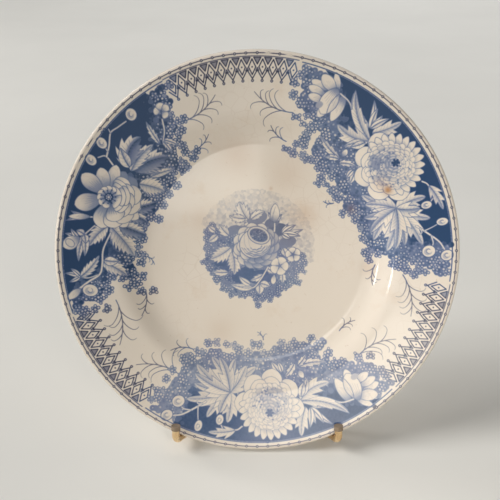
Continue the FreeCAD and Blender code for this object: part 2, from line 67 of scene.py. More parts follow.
# ---- The printed pattern ----
class Print:
    """Ink density, from 0 to 1, on a square grid over the platter's face. Points are (x, y) in mm."""

    def __init__(self, reach, pitch):
        self.reach = reach
        self.pitch = pitch
        self.count = int(2 * reach / pitch) + 1
        self.ink = np.zeros((self.count, self.count), np.float32)
        self.dice = np.random.default_rng(7)
        self.roll = self.dice.random

    def window(self, points, margin):
        """The part of the grid around some points, as (rows, columns, x, y)."""
        points = np.asarray(points, float)
        low = np.floor((points.min(0) - margin + self.reach) / self.pitch).astype(int)
        high = np.ceil((points.max(0) + margin + self.reach) / self.pitch).astype(int) + 1
        low = np.clip(low, 0, self.count)
        high = np.clip(high, 0, self.count)
        axis_x = np.arange(low[0], high[0]) * self.pitch - self.reach
        axis_y = np.arange(low[1], high[1]) * self.pitch - self.reach
        x, y = np.meshgrid(axis_x, axis_y)
        return slice(low[1], high[1]), slice(low[0], high[0]), x, y

    def lay(self, rows, columns, cover, ink):
        """Bring part of the grid towards an ink, by how much of each point is covered."""
        under = self.ink[rows, columns]
        self.ink[rows, columns] = under + (ink - under) * np.clip(cover, 0, 1)

    def fill(self, outline, ink, edge=0.0, thick=0.3):
        """Fill a closed outline, and draw its edge if an ink is given for it."""
        rows, columns, x, y = self.window(outline, 0.5)
        inside = inside_outline(outline, x, y)
        self.lay(rows, columns, inside.astype(float), ink)
        if edge:
            self.line(np.vstack([outline, outline[:1]]), thick, edge)
        return rows, columns, x, y, inside

    def line(self, path, width, ink, taper=1.0):
        """Draw a line. Its width shrinks to width times taper at its far end."""
        path = np.asarray(path, float)
        steps = len(path) - 1
        for index in range(steps):
            start, end = path[index], path[index + 1]
            wide = width * (1 + (taper - 1) * (index + 0.5) / steps)
            rows, columns, x, y = self.window([start, end], wide)
            if x.size:
                gap = to_segment(x, y, start, end)
                self.lay(rows, columns, (wide / 2 - gap) / self.pitch + 0.5, ink)

    def oval(self, centre, along, across, heading, ink, edge=0.0, thick=0.35):
        """Fill an oval whose long half-axis points along heading (radians from +x)."""
        turn = even_turns(24)
        ahead = ray(heading)
        aside = np.array([-ahead[1], ahead[0]])
        outline = centre + np.outer(np.cos(turn) * along, ahead) + np.outer(np.sin(turn) * across, aside)
        self.fill(outline, ink, edge, thick)

    def read(self, x, y):
        """Ink at some points, blended between the four grid points around each."""
        column, row = ((np.asarray(value) + self.reach) / self.pitch for value in (x, y))
        left, below = (np.clip(np.floor(value).astype(int), 0, self.count - 2) for value in (column, row))
        right_share, top_share = column - left, row - below
        ink = 0
        for up in (0, 1):
            for over in (0, 1):
                beside = right_share if over else 1 - right_share
                ink = ink + self.ink[below + up, left + over] * beside * (top_share if up else 1 - top_share)
        return ink

    def dot(self, centre, radius, ink):
        """Fill a small circle."""
        rows, columns, x, y = self.window([centre], radius + 0.5)
        gap = np.hypot(x - centre[0], y - centre[1])
        self.lay(rows, columns, (radius - gap) / self.pitch + 0.5, ink)


def inside_outline(outline, x, y):
    """Which points lie inside a closed outline."""
    inside = np.zeros(x.shape, bool)
    ends = np.roll(outline, -1, axis=0)
    for (x1, y1), (x2, y2) in zip(outline, ends):
        if y1 != y2:
            crosses = (y1 > y) != (y2 > y)
            inside ^= crosses & (x < (x2 - x1) * (y - y1) / (y2 - y1) + x1)
    return inside


def to_segment(x, y, start, end):
    """Distance from points to a straight segment."""
    run = end - start
    length2 = max(float(run @ run), 1e-9)
    part = np.clip(((x - start[0]) * run[0] + (y - start[1]) * run[1]) / length2, 0, 1)
    return np.hypot(x - start[0] - part * run[0], y - start[1] - part * run[1])


def to_path(x, y, path):
    """Distance from points to the nearest part of a path."""
    gap = np.full(x.shape, 1e9)
    for start, end in zip(path[:-1], path[1:]):
        gap = np.minimum(gap, to_segment(x, y, start, end))
    return gap


def ray(turn):
    """Unit vector at an angle in radians from +x."""
    return np.array([math.cos(turn), math.sin(turn)])


def even_turns(count):
    """Angles in radians, spread evenly over a full turn."""
    return np.linspace(0, 2 * math.pi, count + 1)[:-1]


def outward(angle):
    """Heading away from the middle, in radians from +x, for degrees clockwise from the top."""
    return math.radians(90 - angle)


def at(angle, share):
    """Point on the face: degrees clockwise from the top, and share of the rim's radius."""
    turn = math.radians(angle)
    return np.array([math.sin(turn), math.cos(turn)]) * share * RIM


def bow(start, end, bend, count=14):
    """Curve from start to end that bulges to its left by bend times its length."""
    start, end = np.asarray(start, float), np.asarray(end, float)
    run = end - start
    control = (start + end) / 2 + np.array([-run[1], run[0]]) * bend
    t = np.linspace(0, 1, count)[:, None]
    return start * (1 - t) ** 2 + 2 * control * t * (1 - t) + end * t**2


def smooth_path(points, per_span=6):
    """Smooth curve through some points."""
    points = np.asarray(points, float)
    ends = np.vstack([2 * points[0] - points[1], points, 2 * points[-1] - points[-2]])
    t = np.linspace(0, 1, per_span, endpoint=False)[:, None]
    spans = []
    for a, b, c, d in zip(ends[:-3], ends[1:-2], ends[2:-1], ends[3:]):
        bent = (a - 2.5 * b + 2 * c - d / 2) * t**2
        twisted = (1.5 * (b - c) + (d - a) / 2) * t**3
        spans.append(b + (c - a) * t / 2 + bent + twisted)
    return np.vstack([*spans, points[-1:]])


def sideways(path):
    """Unit vectors to the left of a path, at each of its points."""
    run = np.gradient(path, axis=0)
    run /= np.maximum(np.linalg.norm(run, axis=1), 1e-9)[:, None]
    return np.stack([-run[:, 1], run[:, 0]], axis=1)


def blade(spine, across):
    """Closed outline that reaches to both sides of a spine."""
    return np.vstack([spine + across, (spine - across)[::-1]])


def leaf(art, base, tip, width, bend=0.12, teeth=0, dark=0.7, tone=0.2, edge=0.6, early=0.75, cut=0.42):
    """A pale leaf with a dark midrib and side veins; one half is shaded. Teeth are cut towards the tip."""
    count = 50
    rib = bow(base, tip, bend, count)
    left = sideways(rib)
    t = np.linspace(0, 1, count)
    half = width / 2 * np.sin(math.pi * t**early) ** 0.85
    spine = rib.copy()
    if teeth:
        tooth = (t * teeth) % 1.0
        half *= 1.12 - cut + cut * tooth**1.3
        ahead = np.stack([left[:, 1], -left[:, 0]], axis=1)
        spine += ahead * (half * cut * 0.9 * tooth**2)[:, None]
    across = left * half[:, None]
    rows, columns, x, y, inside = art.fill(blade(spine, across), PALE, edge)
    one_half = inside_outline(np.vstack([rib, (spine - across)[::-1]]), x, y)
    gap = to_path(x, y, rib[::6])
    art.lay(rows, columns, one_half * tone * np.exp(-((gap / (0.42 * width)) ** 2)), dark)
    beside_rib = inside * np.exp(-((gap / (0.1 * width + 0.15)) ** 2))
    art.lay(rows, columns, beside_rib * (0.15 + tone * 0.8), dark)
    art.line(rib[1:-4], 0.42, dark, 0.4)
    veins = max(3, int(np.linalg.norm(rib[-1] - rib[0]) / 2.9)) if width > 4 else 0
    for index in range(veins):
        place = int(5 + 36 * index / veins)
        ahead = min(place + 6, count - 1)
        for hand in (1, -1):
            reach = rib[ahead] + hand * left[ahead] * half[ahead] * 0.75
            art.line([rib[place], reach], 0.26, dark * 0.55, 0.5)


def spikes(art, base, tips, width, **look):
    """Several narrow leaves that spring from one place, such as an acanthus leaf's lobes."""
    for index, tip in enumerate(tips):
        leaf(art, base, tip, width, bend=0.1 if index % 2 else -0.1, **look)


def grow(art, shape, place, rows):
    """Draw one shape at each row: the two places that it joins, its width, and then its other numbers.

    Those are in the shape's own order: bend, teeth, dark and tone for a leaf, blunt and deep for a petal."""
    for start_a, start_b, end_a, end_b, *look in rows:
        shape(art, place(start_a, start_b), place(end_a, end_b), *look)


def all_spikes(art, place, rows):
    """Tufts of spikes, each by its width, its base and its tips."""
    for width, base, *tips in rows:
        spikes(art, place(*base), [place(*tip) for tip in tips], width)


def stems(art, place, rows):
    """Stems, each by its width and the places that it runs through."""
    for width, *spots in rows:
        stem(art, [place(*spot) for spot in spots], width)


def acanthus(art, base, tip, width, lobes=3, bend=0.12, dark=0.8, tone=0.2):
    """A cut leaf: deep flame-like lobes along both sides of a curved blade."""
    leaf(art, base, tip, width * 1.6, bend, lobes, dark * 0.8, tone, edge=0.5, early=0.62, cut=0.6)


def petal(art, base, tip, width, blunt=1.7, deep=0.5, pale=PALE, edge=0.55, reach=0.45):
    """A petal: pale at its tip, shaded at its base, with fine lines. Blunt ones are wide at the tip."""
    rib = bow(base, tip, 0.0, 22)
    left = sideways(rib)
    t = np.linspace(0, 1, 22)
    half = width / 2 * np.sin(math.pi * t**blunt) ** 0.6
    rows, columns, x, y, inside = art.fill(blade(rib, left * half[:, None]), pale, edge)
    run = rib[-1] - rib[0]
    length2 = max(float(run @ run), 1e-9)
    along = ((x - rib[0][0]) * run[0] + (y - rib[0][1]) * run[1]) / length2
    art.lay(rows, columns, inside * np.clip(1 - along / reach, 0, 1) * deep, 0.9)
    across = ((x - rib[0][0]) * left[9][0] + (y - rib[0][1]) * left[9][1]) / width
    art.lay(rows, columns, inside * np.clip(across - 0.12, 0, 1) * deep * 0.9, 0.8)
    for index, side in enumerate((-0.62, -0.35, -0.1, 0.15, 0.4, 0.66)):
        stop = 11 + (index * 5) % 4
        start, end = rib[4] + left[4] * half[4] * side, rib[stop] + left[stop] * half[stop] * side
        art.line([start, end], 0.24, 0.16 + 0.4 * deep, 0.4)


def ring_of_petals(art, centre, count, inner, outer, width, phase=0.0, jitter=0.08, **look):
    """Petals around a centre. outer may be a function of the direction, in radians from +x."""
    for index in range(count):
        turn = phase + 2 * math.pi * index / count
        way = ray(turn)
        reach = outer(turn) if callable(outer) else outer
        reach *= 1 + jitter * (art.roll() - 0.5) * 2
        petal(art, centre + way * inner, centre + way * reach, width, **look)


def berry(art, centre, size=3.2, heading=1.57, long=1.2):
    """A pale round berry with a dark rim, a soft shade and a small curl in it."""
    art.oval(centre, size * long, size, heading, 0.02, 0.75, 0.4)
    art.oval(centre + np.array([-0.12, -0.1]) * size, size * long * 0.62, size * 0.6, heading, 0.24)
    art.oval(centre + np.array([0.1, 0.08]) * size, size * long * 0.4, size * 0.36, heading, 0.04)
    turn = np.linspace(0.6, 4.6, 9) + heading
    curl = centre + np.stack([np.cos(turn), np.sin(turn)], axis=1) * size * 0.36
    art.line(curl, 0.34, 0.6, 0.6)


def stem(art, points, width=0.9, pale=0.06, edge=0.55):
    """A pale stem with a dark outline, through some points."""
    path = smooth_path(points)
    art.line(path, width + 0.5, edge, 0.8)
    art.line(path, width, pale, 0.7)


def floret(art, centre, size=1.2, body=0.42, ring=0.88):
    """One tiny ring of the lace around a spray."""
    art.dot(centre, size, ring)
    art.dot(centre, size * 0.7, body)
    drift = (art.roll(2) - 0.5) * 0.4
    art.dot(centre + drift, size * 0.34, 0.15)


def scatter(art, low, high, spacing):
    """Points spread over a box on a shaken grid."""
    xs = np.arange(low[0], high[0], spacing)
    ys = np.arange(low[1], high[1], spacing * 0.87)
    points = []
    for row, y in enumerate(ys):
        for x in xs:
            shake = (art.roll(2) - 0.5) * spacing * 0.5
            points.append([x + (row % 2) * spacing / 2 + shake[0], y + shake[1]])
    return np.array(points)


def polar_outline(corners, turned=0.0, step=1.5):
    """Closed outline through (angle, share) corners, whose long runs follow the rim's curve."""
    points = []
    for (a1, s1), (a2, s2) in zip(corners, corners[1:] + corners[:1]):
        count = max(2, int(abs(a2 - a1) / step))
        for index in range(count):
            part = index / count
            points.append(at(turned + a1 + (a2 - a1) * part, s1 + (s2 - s1) * part))
    return np.array(points)


def lace(art, outline, size=1.1, fringe=10.5, ground=0.66, patchy=1.3, keep=0.84, ring=0.82):
    """Fill an outline with a speckled blue ground that breaks up into clusters of florets at its edge."""
    closed = np.vstack([outline, outline[:1]])

    def spread(spacing):
        points = scatter(art, outline.min(0), outline.max(0), spacing)
        points = points[inside_outline(outline, points[:, 0], points[:, 1])]
        points = points[np.hypot(points[:, 0], points[:, 1]) < 0.943 * RIM]
        x, y = points.T
        lobes = np.sin(x * 0.43 + 1.3) + np.sin(y * 0.47) + np.sin((x + y) * 0.31)
        return points, to_path(x, y, closed) + lobes * patchy

    points, depth = spread(size * 2.1)
    points = points[depth > fringe * 0.8]
    for point in points:
        art.dot(point, size * 1.8, ground + 0.12 * (art.roll() - 0.5))
    for point in points:
        kind = art.roll()
        if kind < 0.3:
            art.dot(point, size * (0.45 + 0.25 * art.roll()), 0.12 + 0.34 * art.roll())
        elif kind < 0.62:
            floret(art, point, size * (0.8 + 0.25 * art.roll()), 0.36, ring)
        elif kind < 0.85:
            art.dot(point, size * (0.7 + 0.5 * art.roll()), ground + 0.14)
    points, depth = spread(size * 5.1)
    chance = art.roll(len(points))
    kept = (depth > 1.2) & (depth < fringe * 1.25) & (chance < keep)
    for centre in points[kept]:
        centre = centre + (art.roll(2) - 0.5) * size * 1.4
        art.dot(centre, size * 1.7, 0.34)
        turned = art.roll() * 6.28
        for petals in range(7):
            way = turned + petals * 2 * math.pi / 6
            away = size * (1.8 + 0.4 * art.roll()) * (petals < 6)
            if art.roll() < 0.84:
                place = centre + ray(way) * away
                floret(art, place, size * (0.85 + 0.25 * art.roll()), 0.1 + 0.3 * art.roll(), ring)


def broken_ground(art, corners, turned, ink):
    """Plain dark ground, its inner edge broken up by dots so that it runs into the lace."""
    outline = polar_outline(corners, turned, 1.0)
    art.fill(outline, ink)
    for point in outline[np.hypot(outline[:, 0], outline[:, 1]) < 0.93 * RIM]:
        for _ in range(5):
            place = point + 1.6 * art.dice.normal(size=2)
            art.dot(place, 0.6 + 1.3 * art.roll(), ink - 0.1 - 0.22 * art.roll())


def tendril(art, start, end, bend, curls=5, ink=0.66, curl=0.5):
    """A fine sprig: a curved stem with arching twigs on both sides."""
    path = bow(start, end, bend, 30)
    left = sideways(path)
    art.line(path, 0.62, ink, 0.6)
    length = np.linalg.norm(path[-1] - path[0])
    for index in range(curls):
        place = int(4 + 22 * index / curls)
        hand = 1 if index % 2 else -1
        ahead = np.array([left[place][1], -left[place][0]])
        aside = hand * left[place]
        reach = length * curl * (1 - 0.5 * index / curls) * (0.8 + 0.4 * art.roll())
        crook = path[place] + ahead * reach * 0.62 + aside * reach * 0.5
        hook = crook + aside * reach * 0.34 - ahead * reach * 0.1
        art.line(bow(path[place], crook, -0.2 * hand, 10), 0.5, ink * 0.95, 0.7)
        art.line(bow(crook, hook, -0.35 * hand, 8), 0.38, ink * 0.85, 0.7)


# ---- flowers ----
def peony(art, centre, out, size):
    """A full flower: pointed petals on one side, broad ones on the other, and a core of small scales.

    out is the direction of its pointed side, in radians from +x."""
    broad = out + math.pi
    for low, high, count, far, wide in ((-1.7, 1.35, 5, 1.6, 0.95), (-1.45, 1.1, 5, 1.28, 0.8)):
        for turn in np.linspace(broad + low, broad + high, count):
            way = ray(turn)
            root, tip = centre + way * size * 0.45, centre + way * size * far
            petal(art, root, tip, size * wide, 1.5, 0.42, reach=0.7)
    for turn in np.linspace(out - 1.75, out + 1.7, 15):
        way = ray(turn)
        far = size * (1.4 + 0.1 * math.cos(turn - out))
        petal(art, centre + way * size * 0.7, centre + way * far, size * 0.36, blunt=1.0, reach=0.7)
    art.dot(centre, size * 1.03, 0.3)
    eye = centre + ray(out) * size * 0.28
    for ring in range(8):
        share = 1.0 - ring / 8.6
        middle = centre + (eye - centre) * (1 - share)
        count = max(6, int(23 * share) + 2)
        for index in range(count):
            turn = 0.4 * ring + 2 * math.pi * (index + 0.5 * art.roll()) / count
            way = ray(turn)
            shaded = 0.5 + 0.5 * math.cos(turn - out - 2.7)
            far = size * share * (1.0 + 0.14 * art.roll())
            wide = 2 * math.pi * size * share / count * (1.05 + 0.4 * art.roll())
            deep = 0.14 + 0.62 * shaded * (0.3 + 0.7 * art.roll())
            pale = 0.02 + 0.3 * shaded * art.roll() * (0.3 < share < 0.95)
            petal(art, middle + way * far * 0.55, middle + way * far, wide, 1.8, deep, pale, 0.36, 0.8)
    for _ in range(60):
        turn, far = out + math.pi + 1.5 * art.dice.normal(), size * (0.35 + 0.55 * art.roll())
        art.dot(centre + ray(turn) * far, 0.3 + 0.35 * art.roll(), 0.5)
    art.oval(eye, size * 0.15, size * 0.1, out, 0.8)
    for turn in even_turns(6):
        art.dot(eye + ray(turn) * size * 0.14, size * 0.05, 0.85)


def open_rose(art, eye, petals, inner):
    """An open rose: broad outer petals, then smaller ones, each by tip, width and shade, then the eye."""
    for tip, width, deep in petals:
        dark = deep > 0.7
        petal(art, eye + (tip - eye) * 0.12, tip, width, 1.45, deep + 0.2, 0.02 + 0.4 * dark, reach=0.8)
    for tip, width, deep in inner:
        petal(art, eye + (tip - eye) * 0.2, tip, width, 1.7, deep, 0.02, reach=0.7)
    art.dot(eye, 2.8, 0.85)
    for turn in even_turns(11):
        way = ray(turn)
        far = 4.0 + 1.4 * art.roll()
        art.line([eye + way * 1.0, eye + way * far], 0.36, 0.9, 0.5)
        art.dot(eye + way * far, 0.42, 0.95)
    for turn in even_turns(7):
        art.dot(eye + ray(turn) * 1.5, 0.5, 0.15)
    art.dot(eye, 0.8, 0.1)


def garden_spray(art, turned, **look):
    """Bud, acanthus, peony, leaf fan and berries, as they lie when turned is 0."""
    def p(angle, share):
        return at(turned + angle, share)

    edge_of_lace = [
        (10.5, 1.04), (11, 0.83), (11, 0.74), (14, 0.69), (21, 0.655), (23, 0.625), (15, 0.58),
        (14.5, 0.52), (29, 0.495), (37, 0.47), (47, 0.453), (58, 0.458), (68, 0.462), (83, 0.488),
        (90, 0.53), (94.5, 0.574), (96, 0.64), (99.5, 0.7), (98, 0.78), (98, 0.86), (100, 1.04),
    ]
    lace(art, polar_outline(edge_of_lace, turned), **look)
    ground = [
        (20, 0.958), (28, 0.88), (30, 0.8), (36, 0.76), (45, 0.72), (62, 0.7), (70, 0.76), (84, 0.76),
        (86, 0.82), (85, 0.88), (87, 0.958),
    ]
    broken_ground(art, ground, turned, 0.94)

    # round bud flower
    grow(art, petal, p, (
        (28.4, 0.89, 28.6, 0.748, 7.0, 1.0, 0.6), (25, 0.83, 23.4, 0.738, 6.0, 1.2, 0.5),
        (23, 0.875, 17.0, 0.893, 5.4, 1.2), (23, 0.85, 16.6, 0.862, 5.4, 1.2),
        (23.4, 0.82, 17.4, 0.822, 5.4, 1.2), (26, 0.89, 23, 0.966, 4.4, 1.0, 0.5),
        (25.5, 0.88, 19.6, 0.934, 7.6, 1.2, 0.5),
        (25.5, 0.905, 24, 0.758, 11.0, 1.1, 0.6, 0.02, 0.55, 0.35),
    ))
    art.oval(p(22.2, 0.795), 2.6, 2.0, 0.6, 0.26)
    art.line(bow(p(26.6, 0.88), p(25.8, 0.775), -0.2), 0.34, 0.6)
    stems(art, p, (
        (0.9, (27, 0.885), (31, 0.868), (34.8, 0.815)), (0.6, (30.6, 0.915), (31.2, 0.885), (32.3, 0.855)),
    ))

    # acanthus leaves
    acanthus(art, p(43, 0.82), p(46.8, 0.955), 7.0, 3, bend=-0.1)
    all_spikes(art, p, (
        (4.0, (41.5, 0.83), (36.6, 0.945), (39, 0.925), (41.4, 0.915), (43.6, 0.925)),
        (3.4, (41, 0.81), (33.6, 0.865), (35.0, 0.84), (37, 0.85)),
    ))
    leaf(art, p(44.8, 0.785), p(30.4, 0.935), 7.4, bend=0.2, teeth=3, cut=0.3)
    acanthus(art, p(44, 0.78), p(31.3, 0.752), 8.0, 3, bend=0.24)
    spikes(art, p(43.5, 0.765), [p(38.4, 0.682), p(40.5, 0.7)], 4.8)

    # little leaves and a bud on the lace
    grow(art, leaf, p, (
        (41, 0.625, 28, 0.665, 5.2, 0.12, 4), (41, 0.622, 35, 0.585, 4.4, -0.12, 3),
        (42, 0.605, 48.2, 0.655, 4.8, 0.15, 3),
    ))
    petal(art, p(41.2, 0.642), p(40.2, 0.682), 3.6, blunt=1.0)
    grow(art, leaf, p, (
        (49.3, 0.64, 53.3, 0.572, 4.0, 0.12), (48.8, 0.635, 50.2, 0.58, 3.2, -0.12),
    ))

    # leaf fan
    heart = p(71.5, 0.725)
    fan = [(61, 0.598), (66, 0.592), (89, 0.65), (84, 0.59), (70.5, 0.875), (77.6, 0.872), (86.5, 0.822)]
    for index, tip in enumerate(fan):
        acanthus(art, heart, p(*tip), 8.0, 3, bend=0.12 - 0.24 * (index % 2))
    front_fan = [(72, 0.565), (80.3, 0.578), (86.5, 0.735), (73.6, 0.835), (88, 0.69)]
    for index, tip in enumerate(front_fan):
        acanthus(art, heart, p(*tip), 6.4, 2, bend=0.12 - 0.24 * (index % 2), tone=0.32)

    # stems and berries on the right
    stems(art, p, (
        (1.1, (79.6, 0.8), (82.6, 0.85), (85.5, 0.9), (88, 0.925)),
        (0.6, (81.6, 0.835), (80.8, 0.87), (80, 0.9)), (0.7, (83.5, 0.865), (86, 0.872), (87.5, 0.86)),
        (0.6, (80.5, 0.815), (82, 0.822), (82.6, 0.812)),
        (0.8, (65.5, 0.885), (67.2, 0.905), (71, 0.912), (72.6, 0.89)),
    ))
    acanthus(art, p(67.6, 0.908), p(75.8, 0.94), 5.0, 3, bend=0.1)
    berry(art, p(73.2, 0.868), 2.6, outward(turned + 73), 1.35)
    berry(art, p(79.4, 0.925), 2.6, outward(turned + 79), 1.45)
    berry(art, p(89.8, 0.937), 3.5, 0.5, 1.15)
    berry(art, p(88.6, 0.85), 3.9, 0.3, 1.1)

    peony(art, p(56, 0.785), outward(turned + 56), 14.6)


def rose_spray(art):
    """Open rose with toothed leaves, buds and berries, on the left of the platter."""
    edge_of_lace = [
        (248, 1.04), (250, 0.86), (249.5, 0.8), (251.5, 0.745), (257, 0.74), (257.5, 0.705), (253, 0.68),
        (250, 0.625), (248.5, 0.53), (255, 0.545), (268.7, 0.568), (276, 0.55), (282.5, 0.532),
        (287.8, 0.479), (297, 0.5), (305, 0.507), (315, 0.522), (326, 0.56), (330, 0.593), (328, 0.66),
        (332, 0.7), (333, 0.8), (334, 0.86), (334.5, 1.04),
    ]
    lace(art, polar_outline(edge_of_lace), ground=0.76, ring=0.9)
    ground = [
        (256, 0.958), (261, 0.88), (262, 0.8), (270, 0.72), (280, 0.7), (300, 0.7), (316, 0.72), (321, 0.8),
        (325, 0.87), (326, 0.958),
    ]
    broken_ground(art, ground, 0.0, 0.96)

    # leaves under the rose
    grow(art, leaf, at, (
        (267.5, 0.775, 260.4, 0.662, 10.0, 0.1, 6), (268, 0.762, 267.2, 0.69, 5.9, -0.1),
        (281, 0.74, 268.3, 0.618, 14.2, 0.08, 8), (282.5, 0.7, 278.8, 0.565, 11.3, -0.05, 7, 0.9, 0.6),
        (287, 0.67, 285.4, 0.575, 8.9, 0.12, 5, 0.9, 0.6),
        (290.5, 0.66, 296.5, 0.565, 10.3, -0.1, 6, 0.95, 0.7), (301, 0.68, 303.8, 0.556, 12.7, 0.06, 8),
        (306, 0.655, 315.8, 0.588, 4.9, 0.05), (281, 0.752, 273.2, 0.832, 10.3, -0.14, 6),
        (304.5, 0.735, 317.5, 0.655, 17.6, 0.16, 8, 0.9, 0.55), (303.8, 0.745, 317, 0.745, 10.0, 0.15, 6),
        (304.3, 0.765, 315.8, 0.81, 16.2, 0.34, 5, 0.9, 0.6),
        (304.8, 0.76, 308.5, 0.85, 7.0, 0.12, 0, 0.85),
    ))

    # buds, sprigs and berries
    stems(art, at, (
        (1.2, (259.3, 0.9), (261, 0.85), (263, 0.79), (267, 0.772), (272, 0.765), (278.5, 0.735)),
    ))
    petal(art, at(259.2, 0.892), at(257, 0.966), 5.0, blunt=1.0, deep=0.4)
    berry(art, at(258, 0.85), 4.0, 2.9, 1.25)
    spikes(art, at(263.2, 0.885), [at(264.8, 0.955), at(262, 0.94), at(266, 0.925)], 2.8)
    stem(art, [at(263.2, 0.89), at(262.3, 0.85), at(262.8, 0.8)], 0.7)
    leaf(art, at(263, 0.885), at(269.8, 0.785), 7.0, teeth=6, bend=-0.1)
    stem(art, [at(276.5, 0.865), at(278, 0.845), at(280.5, 0.815)], 0.9)
    all_spikes(art, at, (
        (4.4, (277, 0.86), (268, 0.885), (269.6, 0.855), (278, 0.9), (274, 0.85)),
        (3.0, (275.5, 0.885), (276.8, 0.952), (278.4, 0.925)),
    ))
    petal(art, at(276, 0.88), at(272.6, 0.955), 8.6, blunt=1.25, deep=0.5)
    art.oval(at(274, 0.925), 3.2, 2.2, 2.4, 0.1, 0.5)
    stem(art, [at(283.2, 0.835), at(282.9, 0.86)], 0.8)
    spikes(art, at(283, 0.85), [at(280.6, 0.955), at(283.8, 0.94)], 2.8)
    petal(art, at(283.2, 0.845), at(282, 0.945), 4.0, blunt=1.0)
    stems(art, at, (
        (0.9, (302.4, 0.835), (303.6, 0.885), (302, 0.912)),
        (1.0, (303.6, 0.88), (307, 0.9), (310.3, 0.93), (313, 0.922), (316, 0.913)),
        (0.6, (310.3, 0.93), (310.8, 0.95)), (0.6, (305.2, 0.89), (305.8, 0.91)),
    ))
    berry(art, at(300.3, 0.935), 3.1, 2.3, 1.3)
    berry(art, at(306.3, 0.935), 3.1, 2.2, 1.3)
    berry(art, at(318.6, 0.92), 3.5, 1.9, 1.15)
    grow(art, leaf, at, (
        (319, 0.725, 320.6, 0.85, 4.4, 0.06, 5), (320.5, 0.73, 320.2, 0.655, 3.8, 0.12, 4),
        (321, 0.73, 324.5, 0.66, 3.8, 0.12, 4),
    ))
    stem(art, [at(325.3, 0.81), at(323.5, 0.76), at(320.6, 0.725)], 0.8)
    bud = at(326.6, 0.842)
    for *tip, width in ((324.6, 0.868, 5.0), (327.6, 0.885, 5.4), (329.6, 0.85, 5.0), (327.4, 0.805, 5.0)):
        petal(art, bud, at(*tip), width, deep=0.55)
    art.dot(at(326.6, 0.845), 0.8, 0.7)

    eye = at(291.5, 0.785)
    outer = []
    for angle, share, width, deep in (
        (302, 0.7, 13.0, 0.85), (302.6, 0.765, 9.0, 0.8), (286, 0.618, 9.0, 0.4),
        (291, 0.622, 12.0, 0.45), (281.6, 0.665, 10.0, 0.45), (303, 0.82, 8.0, 0.35),
        (299.6, 0.88, 8.4, 0.4), (295.3, 0.945, 10.0, 0.4), (285.8, 0.93, 11.5, 0.4),
        (279.8, 0.785, 13.0, 0.45), (284.2, 0.66, 9.0, 0.4),
    ):
        outer.append((at(angle, share), width, deep))
    inner = []
    for far, wide, turns in (
        (20.5, 13.0, (-80, -52, -22, 4)), (16.5, 12.0, (40, 12, -16, -44, -72)), (13.5, 13.0, (36, -26, 4)),
        (10.8, 12.0, (30, -30, 0)), (8.2, 9.5, (22, -30)), (7.5, 5.0, (60, 90, 120, 150, 180, 215, 250)),
    ):
        for turn in np.radians(turns):
            tip = eye + ray(turn) * far
            inner.append((tip, wide, 0.6 + 0.15 * (wide > 10)))
    open_rose(art, eye, outer, inner)


